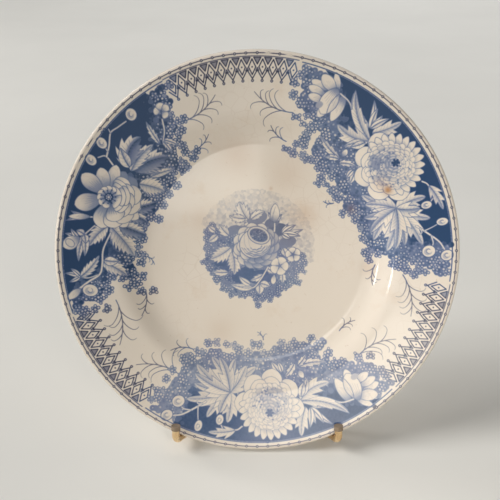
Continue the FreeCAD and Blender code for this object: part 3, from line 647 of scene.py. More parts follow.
def medallion(art):
    """The round posy in the middle. Its upper part is printed faintly."""
    middle = np.array([-1.2, 2.6])

    def v(x, y):
        return middle + [x, y]

    def haze(count, low, high, reach, ink):
        for _ in range(count):
            turn = math.radians(low + (high - low) * art.roll())
            share = reach * (0.3 + 0.7 * math.sqrt(art.roll()))
            centre = v(math.sin(turn) * share, math.cos(turn) * share)
            strength = ink * (0.3 + 1.1 * art.roll()) * (1.15 - 0.5 * share / reach)
            art.dot(centre, 0.5 + 0.9 * art.roll(), strength)

    turns = np.radians(np.linspace(-66, 104, 60))
    for reach, shade in ((36.0, 0.16), (34.0, 0.24), (31.5, 0.32), (27.0, 0.4)):
        wobble = reach + 1.2 * np.sin(turns * 9 + reach) + 1.1 * np.sin(turns * 23 - reach)
        wobble += 0.8 * np.sin(turns * 47)
        veil = np.stack([np.sin(turns) * wobble, np.cos(turns) * wobble], axis=1)
        art.fill(middle + np.vstack([veil, [[8.0, 0.0], [-10.0, 4.0]]]), shade)
    haze(2600, -66, 104, 38.5, 0.24)
    turns = np.radians(np.linspace(100, 298, 45))
    wobble = 37.0 + 1.2 * np.sin(turns * 9) + 0.8 * np.sin(turns * 23)
    rim = np.stack([np.sin(turns) * wobble, np.cos(turns) * wobble], axis=1)
    rim = middle + np.vstack([rim, [[-18.0, 12.0], [14.0, 4.0]]])
    lace(art, rim, size=0.85, fringe=4.4, ground=0.46, patchy=0.5, keep=0.95, ring=0.72)
    for centre, size, shade in (
        ((-8, -18), 8, 0.66), ((2, -19), 7, 0.66), ((-22, -9), 5, 0.66), ((9, -20), 4, 0.6),
        ((14, 12), 7, 0.6), ((-20, -14), 4, 0.6), ((11, 17), 5, 0.52), ((1, 20), 7, 0.42),
        ((21, 4), 6, 0.44), ((-14, 12), 5, 0.46),
    ):
        art.oval(v(*centre), size, size * 0.62, 0.3, shade)

    for x1, y1, x2, y2, width, teeth in (
        (-16, 0.5, -30, -7.5, 9.5, 7), (-15.2, -2, -14, -17.8, 9.0, 7), (-24.8, 9, -31.4, 4.2, 4.0, 0),
        (-17.3, 8.5, -23.4, 15.6, 6.0, 4), (-26, 11, -31, 15, 3.4, 0), (-4.6, 18.6, -10.6, 30.6, 8.4, 5),
        (-6.4, 19.6, -17, 21.4, 5.4, 4), (-3, 19, 6.2, 24.4, 5.2, 4), (5.5, -17.5, -3.2, -21.6, 4.0, 3),
        (-1.7, -26.4, -16.6, -24, 4.0, 0), (-3, -24.6, -10.8, -18.8, 3.4, 0),
        (2.6, -24.4, 2.4, -31.2, 4.8, 0), (3.2, -23.6, 9.8, -25.8, 4.2, 0),
        (17.6, -16.8, 17.8, -23.4, 4.4, 3), (-17.8, -16, -28.6, -15.4, 4.6, 4), (18, 0, 20, -6, 4.0, 0),
        (7.6, -13.2, 12.4, -17.4, 3.4, 0),
    ):
        leaf(art, v(x1, y1), v(x2, y2), width * 1.12, teeth=teeth, dark=0.55, tone=0.22, edge=0.48)
    stem(art, [v(8.4, -12.5), v(3.4, -21), v(-1.4, -26.4), v(-8, -26.2)], 0.8)
    petal(art, v(12.6, -17.3), v(11.6, -24.2), 3.6, blunt=1.4, deep=0.3)
    stem(art, [v(12.4, 10.5), v(12.7, 14), v(12.6, 18)], 0.9)
    spikes(art, v(12.6, 17), [v(8.4, 23.6), v(17.4, 22.4)], 3.0, edge=0.55)
    petal(art, v(12.6, 17), v(13, 29.4), 6.0, blunt=0.9, deep=0.5)
    art.line(bow(v(11.4, 18.5), v(13.2, 27.5), 0.1), 0.3, 0.45)
    tips = [v(21, 16), v(26.4, 15.4), v(31, 12.4), v(29.4, 8), v(23.4, 6.4)]
    spikes(art, v(17.5, 9.6), tips, 3.4, edge=0.55)
    ring_of_petals(art, v(24.8, -4.2), 5, 0.6, 5.2, 4.8, 0.5, deep=0.25)
    ring_of_petals(art, v(16, -11.8), 5, 0.6, 6.2, 6.0, 1.2, deep=0.25)
    for centre in (v(24.8, -4.2), v(16, -11.8)):
        art.dot(centre, 0.9, 0.6)

    eye = v(2.2, 8.6)
    bowl = v(0.0, 3.2)
    for far, wide, shade, low, high, count in (
        (16.2, 9.5, 0.6, -2.7, 0.4, 8), (15.0, 9.0, 0.5, 0.7, 3.4, 6), (12.8, 8.6, 0.7, -2.2, 0.3, 6),
        (12.4, 8.0, 0.5, 0.6, 3.9, 6),
    ):
        for turn in np.linspace(low, high, count):
            way = ray(turn)
            pale = 0.1 + 0.16 * (math.cos(turn + 0.5) > 0.2)
            petal(art, v(0, 1.5) + way * 4, v(0, 2.2) + way * far, wide, 1.5, shade, pale, reach=0.9)
    art.oval(bowl, 10.6, 9.6, 0.4, 0.1, 0.55, 0.4)
    for share in (0.9, 0.78, 0.62, 0.45):
        turn = np.linspace(-2.9 + (1 - share), -0.1 - (1 - share) * 0.5, 16)
        wave = share + 0.025 * np.sin(turn * 11 + 9 * share)
        arc = bowl + np.stack([np.cos(turn) * 10.4 * wave, np.sin(turn) * 9.3 * wave], axis=1)
        art.line(arc, 0.42, 0.5)
        art.line(arc + [0.2, -0.5], 0.5, 0.24)
    art.line(bow(v(-7, 9), v(-3, -3), -0.3), 0.34, 0.3)
    art.line(bow(v(-4.4, 7), v(0, -3.6), -0.25), 0.3, 0.25)
    art.oval(eye, 7.6, 5.6, -0.42, 0.16, 0.6, 0.36)
    art.oval(eye, 6.2, 4.1, -0.42, 0.58)
    for _ in range(60):
        turn, far = 2 * math.pi * art.roll(), math.sqrt(art.roll())
        place = eye + ray(turn) * [5.2, 3.2] * far
        art.dot(place, 0.4, 0.2 + 0.6 * art.roll())


# ---- borders ----
def lattice(art, first, last):
    """Pale bands that cross: diamonds between them, shaded triangles above and a drop under each point."""
    cells = int(round((last - first) / LATTICE_CELL))
    half = (last - first) / cells / 2
    art.line([at(angle, LATTICE_LINE) for angle in np.arange(first, last + 0.1, 0.8)], 0.42, 0.9)
    for index in range(cells):
        middle = first + half * (2 * index + 1)
        if index:
            edge = middle - half
            triangle = [at(edge - half * 0.66, 0.96), at(edge + half * 0.66, 0.96), at(edge, 0.929)]
            art.fill(np.array(triangle), 0.34)
            art.line([*triangle, triangle[0]], 0.5, 1.0)
            notch = half * 0.3
            art.line([at(edge - notch, 0.898), at(edge, 0.913), at(edge + notch, 0.898)], 0.45, 0.9)
        side = half * 0.7
        diamond = [at(middle, 0.953), at(middle + side, 0.916), at(middle, 0.88), at(middle - side, 0.916)]
        art.line([*diamond, diamond[0]], 0.55, 1.0)
        art.line([at(middle - half, 0.902), at(middle, 0.861), at(middle + half, 0.902)], 0.55, 1.0)
        art.dot(at(middle, 0.916), 0.5, 0.8)
        art.dot(at(middle, 0.852), 0.9, 0.95)
        art.dot(at(middle, 0.852), 0.45, 0.1)


def arc_line(art, share, first, last, width):
    """Dark line around part of the face."""
    step = 0.9
    for angle in np.arange(first, last, step):
        art.line([at(angle, share), at(angle + step, share)], width, 0.95)


def beaded_line(art):
    """Thin line near the rim, threaded with tiny open circles."""
    arc_line(art, BEAD_LINE, 0, 360, 0.46)
    for index in range(BEADS):
        centre = at(index * 360 / BEADS, BEAD_LINE)
        art.dot(centre, 0.85, 0.95)
        art.dot(centre, 0.46, PALE)


def tendrils(art):
    """Fine sprigs at the ends of the sprays: start and end as angle and share, then bend and twigs."""
    sprigs = [
        (14, 0.72, -1, 0.8, 0.22, 7), (14.5, 0.575, 6, 0.64, 0.2, 4), (98, 0.735, 112, 0.83, 0.2, 7),
        (96, 0.6, 106, 0.61, -0.2, 4), (137, 0.73, 121.5, 0.82, 0.22, 7), (134, 0.585, 125, 0.61, 0.2, 4),
        (211, 0.735, 227.5, 0.83, -0.22, 7), (213, 0.6, 221.5, 0.665, -0.2, 4),
        (252, 0.745, 236.5, 0.83, 0.2, 7), (250.5, 0.6, 241.5, 0.665, 0.2, 4),
        (331, 0.75, 345.5, 0.81, -0.2, 7), (329, 0.6, 338, 0.64, -0.2, 4),
        (268, 0.565, 263, 0.525, 0.3, 3), (57, 0.458, 52, 0.42, 0.3, 3),
        (176, 0.458, 180, 0.415, -0.3, 3),
    ]
    for a1, s1, a2, s2, bend, curls in sprigs:
        tendril(art, at(a1, s1), at(a2, s2), bend, curls)


def blurred(grid, passes):
    """The grid, softened over its nearest neighbours."""
    for _ in range(passes):
        for axis in (0, 1):
            grid = (np.roll(grid, 1, axis) + 2 * grid + np.roll(grid, -1, axis)) / 4
    return grid


def value_noise(dice, count, cells):
    """Smooth noise from 0 to 1 on a square grid."""
    coarse = dice.random((cells + 2, cells + 2))
    place = np.linspace(0, cells, count, endpoint=False)
    low = place.astype(int)
    part = place - low
    part = part * part * (3 - 2 * part)
    rows = coarse[low] * (1 - part)[:, None] + coarse[low + 1] * part[:, None]
    return rows[:, low] * (1 - part) + rows[:, low + 1] * part


# Where the line near the rim is worn away: direction, share of the rim's radius, and half-width in mm.
WORN_SPOTS = [(9, 0.98, 3.0), (297, 0.982, 3.4), (302, 0.982, 3.6), (307, 0.982, 3.2), (3, 0.975, 2.4)]
MEDALLION_REACH = 42.0


def paint_pattern():
    """The whole print, drawn from the outside in, then worn, made paler towards the bottom and on the right
    (partly paler print, partly painted glare and light), and softened.
    """
    art = Print(RIM + 1, GRID_STEP)
    for first, last in ((-28, 12.5), (98.5, 134), (217, 252)):
        lattice(art, first, last)
    tendrils(art)
    garden_spray(art, 0.0, ground=0.56, keep=0.78, ring=0.76)
    garden_spray(art, 119.5, ground=0.44, keep=0.7, ring=0.66)
    rose_spray(art)
    medallion(art)
    for first, last in ((13, 97), (135, 216), (252.5, 331.5)):
        arc_line(art, GROUND_LINE, first, last, 0.5)
    beaded_line(art)
    grain = value_noise(art.dice, art.count, 330)
    cloud = value_noise(art.dice, art.count, 26)
    art.ink *= 0.88 + 0.09 * grain + 0.12 * cloud
    axis = np.arange(art.count) * art.pitch - art.reach
    x, y = np.meshgrid(axis, axis)
    away = np.hypot(x, y)
    angle = np.degrees(np.arctan2(x, y)) % 360
    rim_only = np.clip((away / RIM - 0.968) / 0.004, 0, 1)
    for spot, share, wide in WORN_SPOTS:
        centre = at(spot, share)
        near = np.exp(-(((x - centre[0]) ** 2 + (y - centre[1]) ** 2) / wide**2) ** 2)
        art.ink *= 1 - 0.85 * near * rim_only
    # Paler ink towards the bottom: partly paler print, partly painted glare and light over the lower flange.
    below = np.exp(-((angle - 178) / 48) ** 2) * (away > MEDALLION_REACH)
    art.ink *= 1 - 0.3 * below
    art.ink *= 1 - 0.1 * (away < MEDALLION_REACH)
    # Paler ink around 116 degrees: partly paler print, partly painted glare on the right of the face.
    art.ink *= 1 - 0.2 * np.exp(-((angle - 116) / 17) ** 2)
    art.ink = blurred(art.ink, 1)
    return art


# ---- Platter mesh ----
def rounded(corners, radii, step):
    """Outline through corners, each rounded to its radius, as points about one step apart."""
    points = [np.array(corners[0], float)]
    for index in range(1, len(corners) - 1):
        before, corner, after = (np.array(corners[i], float) for i in (index - 1, index, index + 1))
        way_in = (corner - before) / np.linalg.norm(corner - before)
        way_out = (after - corner) / np.linalg.norm(after - corner)
        turn = math.acos(float(np.clip(way_in @ way_out, -1, 1)))
        setback = radii[index - 1] * math.tan(turn / 2)
        inward = way_out - way_in
        inward /= np.linalg.norm(inward)
        centre = corner + inward * radii[index - 1] / math.cos(turn / 2)
        start = corner - way_in * setback - centre
        count = max(4, int(radii[index - 1] * turn / step))
        spin = np.sign(way_in[0] * way_out[1] - way_in[1] * way_out[0])
        for part in range(count + 1):
            a = spin * turn * part / count
            cos, sin = math.cos(a), math.sin(a)
            spun = np.array([start[0] * cos - start[1] * sin, start[0] * sin + start[1] * cos])
            points.append(centre + spun)
    points.append(np.array(corners[-1], float))
    even = [points[0]]
    for point in points[1:]:
        gap = np.linalg.norm(point - even[-1])
        start = even[-1]
        for part in range(1, int(gap / step) + 1):
            even.append(start + (point - start) * part / (int(gap / step) + 1))
        even.append(point)
    return np.array(even)


def turned_mesh(profile, counts):
    """Rings of vertices for a profile of (radius, height), and the faces between them.

    A ring has counts[i] vertices; the count halves from ring to ring where the rings get small."""
    vertices, faces, starts = [], [], []
    for (radius, height), count in zip(profile, counts):
        starts.append(len(vertices))
        angles = np.arange(count) * 2 * math.pi / count
        ring = [np.sin(angles) * radius, np.cos(angles) * radius, np.full(count, height)]
        vertices.extend(np.stack(ring, axis=1).tolist())
    for ring in range(len(profile) - 1):
        many, few, a, b = counts[ring], counts[ring + 1], starts[ring], starts[ring + 1]
        here = np.arange(many)
        if many == few:
            after = (here + 1) % many
            faces.extend(np.stack([a + here, a + after, b + after, b + here], axis=1).tolist())
        elif few == 1:
            faces.extend(np.stack([a + here, a + (here + 1) % many, np.full(many, b)], axis=1).tolist())
        else:
            for i in range(few):
                j, k = 2 * i, (2 * i + 2) % many
                faces.append([a + j, a + j + 1, b + i])
                faces.append([a + j + 1, a + k, b + (i + 1) % few, b + i])
    return vertices, faces


def ring_counts(radii, most, widest):
    """Vertices in each ring: halved where that keeps them closer together than widest."""
    counts = [most]
    for radius in radii[1:]:
        count = counts[-1]
        if radius < 1e-6:
            count = 1
        elif count > 24 and 4 * math.pi * radius / count < widest:
            count //= 2
        counts.append(count)
    return counts


# Middle and half-width, in degrees, of the three stretches between the sprays.
PLUM_SPANS = [(352.3, 16.5), (116.5, 16.0), (234.5, 15.5)]


def plum_share(points):
    """How plum the ink looks, from 0 to 1: between the sprays, near the rim and on the medallion's veil."""
    share = np.hypot(points[:, 0], points[:, 1]) / RIM
    angle = np.degrees(np.arctan2(points[:, 0], points[:, 1])) % 360
    plum = np.where(share > 0.968, 1.0, 0.0)
    for middle, reach in PLUM_SPANS:
        gap = np.abs((angle - middle + 180) % 360 - 180)
        plum = np.maximum(plum, np.clip((reach - gap) / 6 + 0.5, 0, 1) * (share > 0.36))
    veil = np.clip((points[:, 1] + 0.35 * points[:, 0]) / 12 - 0.3, 0, 1) * (share < 0.36)
    return np.maximum(plum, 0.5 * veil)


# Platter mesh: step along its profile and widest gap in a ring, in mm, and points in the rim's ring.
FRONT_STEP, FRONT_GAP = 0.4, 0.42
BACK_STEP, BACK_GAP = 1.2, 2.4
RIM_POINTS = 2304
# Two discs on the unwrapped sheet: middle and radius of each.
FRONT_DISC = (0.5, 0.495)
BACK_DISC = (0.925, 0.07)
UNGLAZED_BELOW = 0.35


def make_platter(art):
    """Turned mesh of the platter, with the print's ink stored at its points and a flat layout for it."""
    lip_middle = np.array([RIM, (CORNERS_FRONT[-1][1] + CORNERS_BACK[0][1]) / 2])
    front = rounded([*CORNERS_FRONT, tuple(lip_middle)], [COVE, SHOULDER, LIP], FRONT_STEP)[::-1]
    back_radii = [LIP, SHOULDER, RING_ROUND, RING_ROUND, RING_ROUND]
    back = rounded([tuple(lip_middle), *CORNERS_BACK], back_radii, BACK_STEP)[1:]
    front_counts = ring_counts(front[:, 0], RIM_POINTS, FRONT_GAP)
    back = np.vstack([front[:1], back])
    back_counts = ring_counts(back[:, 0], RIM_POINTS, BACK_GAP)
    vertices, faces = turned_mesh(front, front_counts)
    faces = [face[::-1] for face in faces]
    back_vertices, back_faces = turned_mesh(back, back_counts)
    shared = front_counts[0]
    shift = len(vertices) - shared
    vertices.extend(back_vertices[shared:])
    for face in back_faces:
        faces.append([i if i < shared else i + shift for i in face])

    points = np.array(vertices)
    ink = art.read(points[:, 0], points[:, 1])
    on_front = np.zeros(len(points))
    on_front[: shared + shift] = 1
    bare = (points[:, 2] < UNGLAZED_BELOW) & (on_front == 0)
    stain = np.zeros(len(points))
    for angle, share, wide, strength in STAINS:
        spot = at(angle, share)
        away = (points[:, 0] - spot[0]) ** 2 + (points[:, 1] - spot[1]) ** 2
        stain += strength * np.exp(-away / wide**2)

    mesh = bpy.data.meshes.new("printed_platter")
    leaning = Matrix.Translation(centre_of_platter()) @ Matrix.Rotation(math.pi / 2 - LEAN, 4, "X")
    mesh.from_pydata([tuple(leaning @ (Vector(p) * MM)) for p in vertices], [], faces)
    plum = plum_share(points)
    for name, values in (
        ("ink", ink * on_front),
        ("bare", bare.astype(float)),
        ("stain", stain * on_front),
        ("plum", plum * on_front),
    ):
        layer = mesh.attributes.new(name, "FLOAT", "POINT")
        layer.data.foreach_set("value", values.astype(np.float32))
    layout = mesh.uv_layers.new(name="OFBake")
    front_run = np.concatenate([[0], np.cumsum(np.hypot(*np.diff(front, axis=0).T))])
    back_run = np.concatenate([[0], np.cumsum(np.hypot(*np.diff(back, axis=0).T))])
    out_front = np.repeat(1 - front_run / front_run[-1], front_counts)
    out_back = np.repeat(1 - back_run / back_run[-1], back_counts)
    way = np.arctan2(points[:, 0], points[:, 1])
    way[shared + shift - 1] = 0
    spun = np.stack([np.sin(way), np.cos(way)], axis=1)
    front_map = FRONT_DISC[0] + FRONT_DISC[1] * spun[: len(out_front)] * out_front[:, None]
    back_way = np.vstack([spun[:shared], spun[len(out_front):]])
    back_map = BACK_DISC[0] + BACK_DISC[1] * back_way * out_back[:, None]
    corner_points = np.zeros(len(mesh.loops), dtype=np.int32)
    mesh.loops.foreach_get("vertex_index", corner_points)
    face_sizes = np.zeros(len(mesh.polygons), dtype=np.int32)
    mesh.polygons.foreach_get("loop_total", face_sizes)
    behind = np.repeat(np.arange(len(face_sizes)) >= len(face_sizes) - len(back_faces), face_sizes)
    back_index = np.where(corner_points < shared, corner_points, corner_points - shift)
    on_back = back_map[np.clip(back_index, 0, len(back_map) - 1)]
    spread = np.where(behind[:, None], on_back, front_map[np.minimum(corner_points, len(front_map) - 1)])
    layout.data.foreach_set("uv", spread.astype(np.float32).ravel())
    mesh.shade_smooth()
    platter = bpy.data.objects.new("printed_platter", mesh)
    bpy.context.collection.objects.link(platter)
    return platter


# Brown marks of age: direction, share of the rim's radius, half-width in mm, and strength.
STAINS = [
    (63.5, 0.72, 2.6, 0.85), (60, 0.7, 5.0, 0.25), (52, 0.3, 9.0, 0.22), (98, 0.57, 5.0, 0.2),
    (20, 0.42, 12.0, 0.16), (348, 0.5, 12.0, 0.22), (300, 0.33, 8.0, 0.15), (12, 0.33, 1.2, 0.3),
    (65, 0.52, 3.0, 0.2), (205, 0.45, 9.0, 0.12),
]


def lip_centre(corner, inner, way):
    """Height in metres of the middle of the arc that rounds a lip corner: way is -1 in front, 1 behind."""
    slope = (corner[1] - inner[1]) / (corner[0] - inner[0])
    return (corner[1] - LIP * slope + way * LIP * math.hypot(1, slope)) * MM


def centre_of_platter():
    """Middle of the foot ring's plane, in metres, from the CAD platter's own box."""
    low, high = (Vector(corner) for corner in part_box("platter"))
    up = Vector((0, math.sin(LEAN), math.cos(LEAN)))
    out = Vector((0, -math.cos(LEAN), math.sin(LEAN)))
    front_lip_centre = lip_centre(CORNERS_FRONT[-1], CORNERS_FRONT[-2], -1)
    back_lip_centre = lip_centre(CORNERS_BACK[0], CORNERS_BACK[1], 1)
    lip_height = (front_lip_centre + back_lip_centre) / 2
    # The box is lowest, highest and furthest forward at the lip.
    middle_height = (low.z + high.z) / 2
    forward = (RIM - LIP) * MM * up.y + LIP * MM
    return Vector((0, low.y + forward - front_lip_centre * out.y, middle_height - lip_height * out.z))


# ---- Materials ----
def srgb(red, green, blue):
    """Linear colour, with alpha, from 0 to 255 screen values."""
    def linear(value):
        value /= 255
        return value / 12.92 if value <= 0.04045 else ((value + 0.055) / 1.055) ** 2.4

    return linear(red), linear(green), linear(blue), 1.0


class Look:
    """A node material with short ways to add nodes to it."""

    def __init__(self, name):
        self.material = bpy.data.materials.new(name)
        self.material.use_nodes = True
        self.tree = self.material.node_tree
        self.shader = self.tree.nodes["Principled BSDF"]

    def node(self, kind, **values):
        made = self.tree.nodes.new(kind)
        for key, value in values.items():
            if hasattr(made, key):
                setattr(made, key, value)
            else:
                made.inputs[key.replace("_", " ")].default_value = value
        return made

    def link(self, source, target):
        self.tree.links.new(source, target)

    def feed(self, socket, source):
        self.link(source, self.shader.inputs[socket])

    def stored(self, name):
        """A value that the mesh holds at each of its points."""
        return self.node("ShaderNodeAttribute", attribute_name=name).outputs["Fac"]

    def set(self, **values):
        for key, value in values.items():
            self.shader.inputs[key.replace("_", " ")].default_value = value

    def noise(self, scale, detail=4.0, roughness=0.55):
        made = self.node("ShaderNodeTexNoise", Scale=scale, Detail=detail, Roughness=roughness)
        self.link(self.node("ShaderNodeTexCoord").outputs["Object"], made.inputs["Vector"])
        return made.outputs["Fac"]

    def ramp(self, value, *stops):
        made = self.node("ShaderNodeValToRGB")
        ramp = made.color_ramp
        while len(ramp.elements) < len(stops):
            ramp.elements.new(0.5)
        for element, (place, colour) in zip(ramp.elements, stops):
            element.position = place
            element.color = colour
        self.link(value, made.inputs["Fac"])
        return made.outputs["Color"]

    def grade(self, value, low, high, to_low=0.0, to_high=1.0):
        made = self.node("ShaderNodeMapRange")
        for key, number in (("From Min", low), ("From Max", high), ("To Min", to_low), ("To Max", to_high)):
            made.inputs[key].default_value = number
        self.link(value, made.inputs["Value"])
        return made.outputs["Result"]

    def plug(self, socket, value):
        """Set a socket to a number or a colour, or link another socket to it."""
        if isinstance(value, (int, float, tuple)):
            socket.default_value = value
        else:
            self.link(value, socket)

    def mix(self, share, first, second):
        made = self.node("ShaderNodeMix", data_type="RGBA")
        for index, value in zip((0, 6, 7), (share, first, second)):
            self.plug(made.inputs[index], value)
        return made.outputs[2]

    def times(self, first, second, kind="MULTIPLY"):
        made = self.node("ShaderNodeMath", operation=kind)
        for socket, value in zip(made.inputs, (first, second)):
            self.plug(socket, value)
        return made.outputs[0]

    def bump(self, height, strength, distance):
        made = self.node("ShaderNodeBump", Strength=strength, Distance=distance)
        self.link(height, made.inputs["Height"])
        self.feed("Normal", made.outputs["Normal"])


def china_look():
    """Ivory glaze over a blue print, with fine crazing, age stains and a bare foot ring."""
    look = Look("glazed_china")
    ink = look.stored("ink")
    bare = look.stored("bare")
    cloud = look.noise(9.0, 3.0)
    body = look.ramp(cloud, (0.3, srgb(226, 215, 200)), (0.7, srgb(234, 224, 212)))
    stain = look.grade(look.noise(38.0, 6.0, 0.7), 0.56, 0.74)
    body = look.mix(look.times(stain, 0.32), body, srgb(212, 188, 160))
    speck = look.grade(look.noise(420.0, 2.0), 0.7, 0.78)
    body = look.mix(look.times(speck, 0.25), body, srgb(176, 140, 104))
    cells = look.node("ShaderNodeTexVoronoi", feature="DISTANCE_TO_EDGE")
    cells.inputs["Scale"].default_value = 130.0
    look.link(look.node("ShaderNodeTexCoord").outputs["Object"], cells.inputs["Vector"])
    crack = look.grade(cells.outputs["Distance"], 0.0, 0.05, 1.0, 0.0)
    crazed = look.times(crack, look.grade(look.noise(17.0, 2.0), 0.5, 0.68))
    body = look.mix(look.times(crazed, 0.16), body, srgb(170, 140, 108))
    stained = look.stored("stain")
    blue = look.ramp(
        ink,
        (0.0, srgb(204, 197, 190)),
        (0.28, srgb(156, 163, 180)),
        (0.55, srgb(98, 116, 148)),
        (0.82, srgb(46, 72, 108)),
    )
    violet = look.mix(look.grade(look.noise(46.0, 3.0), 0.4, 0.65, 0.0, 0.3), blue, srgb(108, 112, 152))
    blue = look.mix(look.grade(ink, 0.5, 0.85, 1.0, 0.0), blue, violet)
    dusky = look.ramp(ink, (0.0, srgb(200, 190, 180)), (0.35, srgb(134, 128, 134)), (0.8, srgb(52, 46, 56)))
    plum = look.stored("plum")
    blue = look.mix(look.times(plum, 0.75), blue, dusky)
    cover = look.grade(ink, 0.02, 0.3)
    colour = look.mix(stained, look.mix(cover, body, blue), srgb(176, 126, 78))
    colour = look.mix(bare, colour, srgb(206, 186, 156))
    look.feed("Base Color", colour)
    rough = look.grade(look.noise(60.0, 4.0), 0.3, 0.7, 0.07, 0.14)
    look.feed("Roughness", look.times(rough, look.times(bare, 0.5), "ADD"))
    look.set(IOR=1.5, Coat_Weight=0.15, Coat_Roughness=0.04)
    look.bump(look.noise(26.0, 2.0), 0.12, 0.0006)
    return look.material


def brass_look():
    """Pale brass rod, bright in places and dull or tarnished in others."""
    look = Look("brass")
    tarnish = look.noise(70.0, 6.0, 0.65)
    dull, clean, bright = srgb(211, 174, 126), srgb(240, 208, 161), srgb(251, 230, 193)
    colour = look.ramp(tarnish, (0.3, dull), (0.5, clean), (0.75, bright))
    look.feed("Base Color", colour)
    look.feed("Roughness", look.grade(look.noise(240.0, 5.0), 0.3, 0.7, 0.2, 0.36))
    look.set(Metallic=1.0)
    look.bump(look.noise(900.0, 2.0), 0.15, 0.0002)
    return look.material


def clear_look():
    """Clear vinyl tube, a little yellowed."""
    look = Look("clear_vinyl")
    colour = look.ramp(look.noise(120.0), (0.3, srgb(232, 222, 190)), (0.7, srgb(244, 238, 216)))
    look.feed("Base Color", colour)
    look.feed("Roughness", look.grade(look.noise(300.0), 0.3, 0.7, 0.12, 0.26))
    look.set(IOR=1.45, Transmission_Weight=0.85)
    return look.material


def rubber_look(name, dark, light, low, high):
    """Soft plastic or rubber with a fine grain."""
    look = Look(name)
    look.feed("Base Color", look.ramp(look.noise(160.0), (0.3, dark), (0.7, light)))
    look.feed("Roughness", look.grade(look.noise(500.0), 0.3, 0.7, low, high))
    look.bump(look.noise(1400.0, 2.0), 0.2, 0.0002)
    return look.material


def floor_look():
    """Pale matt paper."""
    look = Look("pale_floor")
    colour = look.ramp(look.noise(3.0), (0.3, srgb(226, 224, 218)), (0.7, srgb(232, 230, 224)))
    look.feed("Base Color", colour)
    look.set(Roughness=0.75)
    return look.material


def dress(item, material):
    item.data.materials.clear()
    item.data.materials.append(material)


# ---- The object ----
platter = make_platter(paint_pattern())
dress(platter, china_look())
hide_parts("platter")
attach(platter, "platter")

by_slot = {part["node"]: part["material_slot"] for part in frame["record"]["subparts"]}
looks = {
    "glazed_china": platter.data.materials[0],
    "brass": brass_look(),
    "clear_vinyl": clear_look(),
    "dark_vinyl": rubber_look("dark_vinyl", srgb(122, 106, 88), srgb(150, 132, 112), 0.35, 0.5),
    "foot_rubber": rubber_look("foot_rubber", srgb(168, 154, 132), srgb(188, 176, 154), 0.5, 0.7),
}
for name, node in frame["nodes"].items():
    dress(node, looks[by_slot[name]])

# ---- Floor, light and camera ----
bpy.ops.mesh.primitive_plane_add(size=80, location=(0, 0, 0))
floor = bpy.context.object
floor.name = "floor"
dress(floor, floor_look())

# The room lights the object evenly. Behind the floor's edge the camera sees a backdrop of the floor's tone.
bpy.context.scene.view_settings.view_transform = "Standard"
world = bpy.data.worlds.new("soft_room")
bpy.context.scene.world = world
world.use_nodes = True
tree = world.node_tree
room = tree.nodes["Background"]
room.inputs["Color"].default_value = srgb(206, 209, 212)
room.inputs["Strength"].default_value = 0.26
backdrop = tree.nodes.new("ShaderNodeBackground")
backdrop.inputs["Color"].default_value = srgb(186, 184, 179)
seen = tree.nodes.new("ShaderNodeLightPath")
choice = tree.nodes.new("ShaderNodeMixShader")
tree.links.new(seen.outputs["Is Camera Ray"], choice.inputs["Fac"])
tree.links.new(room.outputs["Background"], choice.inputs[1])
tree.links.new(backdrop.outputs["Background"], choice.inputs[2])
tree.links.new(choice.outputs["Shader"], tree.nodes["World Output"].inputs["Surface"])

face_centre = centre_of_platter() + Vector((0, -math.cos(LEAN), math.sin(LEAN))) * CORNERS_FRONT[1][1] * MM
FACE_TURN = Matrix.Rotation(math.pi / 2 - LEAN, 3, "X")


def add_light(kind, name, place, way, power, colour, glossy=True, **values):
    """A light at a place, shining against way. glossy says whether it shows in reflections."""
    light = bpy.data.objects.new(name, bpy.data.lights.new(name, kind))
    bpy.context.collection.objects.link(light)
    light.data.energy = power
    light.data.color = colour
    for key, value in values.items():
        setattr(light.data, key, value)
    light.visible_glossy = glossy
    light.location = place
    light.rotation_euler = way.to_track_quat("Z", "Y").to_euler()


def add_area(name, direction, distance, width, height, power, colour):
    """Area light that looks at the platter from a direction in the platter's own frame."""
    way = (FACE_TURN @ Vector(direction)).normalized()
    place = face_centre + way * distance
    add_light("AREA", name, place, way, power, colour, shape="RECTANGLE", size=width, size_y=height)


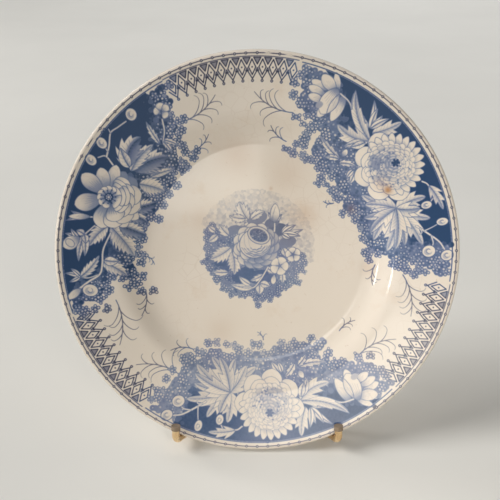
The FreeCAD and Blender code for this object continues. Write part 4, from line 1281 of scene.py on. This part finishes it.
add_area("window", (-0.70, -0.02, 0.70), 2.6, 0.18, 0.32, 4.4, (1.0, 0.96, 0.9))
add_area("sheen", (-0.08, -0.016, 1.0), 2.5, 0.42, 0.42, 1.7, (1.0, 0.96, 0.88))
add_area("side_strip", (-1.0, 0.75, -0.25), 2.0, 0.22, 1.3, 9.0, (1.0, 0.98, 0.95))
# a soft spot for the lower right of the face
spot_place = face_centre + FACE_TURN @ Vector((0.17, 0.02, 0.6))
lit_spot = face_centre + FACE_TURN @ Vector((0.07, -0.06, 0))
cone = {"spot_size": math.radians(46), "spot_blend": 1.0, "shadow_soft_size": 0.09}
add_light("SPOT", "near_fill", spot_place, spot_place - lit_spot, 5.0, (1.0, 0.93, 0.83), False, **cone)
add_area("back_fill", (0.3, 0.9, -1.2), 2.4, 1.6, 1.2, 5.0, (0.95, 0.97, 1.0))
# even daylight from the upper left
sky_way = FACE_TURN @ Vector((-0.78, 0.56, 0.3))
add_light("SUN", "sky_light", (0, 0, 0), sky_way, 2.4, (1.0, 0.985, 0.96), False, angle=math.radians(36))

camera_data = bpy.data.cameras.new("camera")
camera_data.sensor_width = 36
camera = bpy.data.objects.new("camera", camera_data)
bpy.context.collection.objects.link(camera)
bpy.context.scene.camera = camera
# The camera's distance from the rim in metres, how far above square to the face it looks from, how much of
# the frame the platter fills, and how far the platter lies off the frame's middle, as a share of the frame.
VIEW_DISTANCE = 0.6
VIEW_ABOVE = math.radians(9.0)
PLATTER_SHARE_OF_FRAME = 0.81
FRAME_SHIFT = (-0.0144, 0.0116)
camera_data.lens = camera_data.sensor_width * VIEW_DISTANCE * PLATTER_SHARE_OF_FRAME / (2 * RIM * MM)
view_way = FACE_TURN @ Vector((0, math.sin(VIEW_ABOVE), math.cos(VIEW_ABOVE)))
camera.rotation_euler = view_way.to_track_quat("Z", "Y").to_euler()
rim_height = (CORNERS_FRONT[-1][1] - LIP) * MM
rim_centre = centre_of_platter() + FACE_TURN @ Vector((0, 0, rim_height))
camera.location = rim_centre + view_way * VIEW_DISTANCE
camera_data.shift_x, camera_data.shift_y = FRAME_SHIFT
camera_data.clip_start = 0.01
camera_data.clip_end = 50
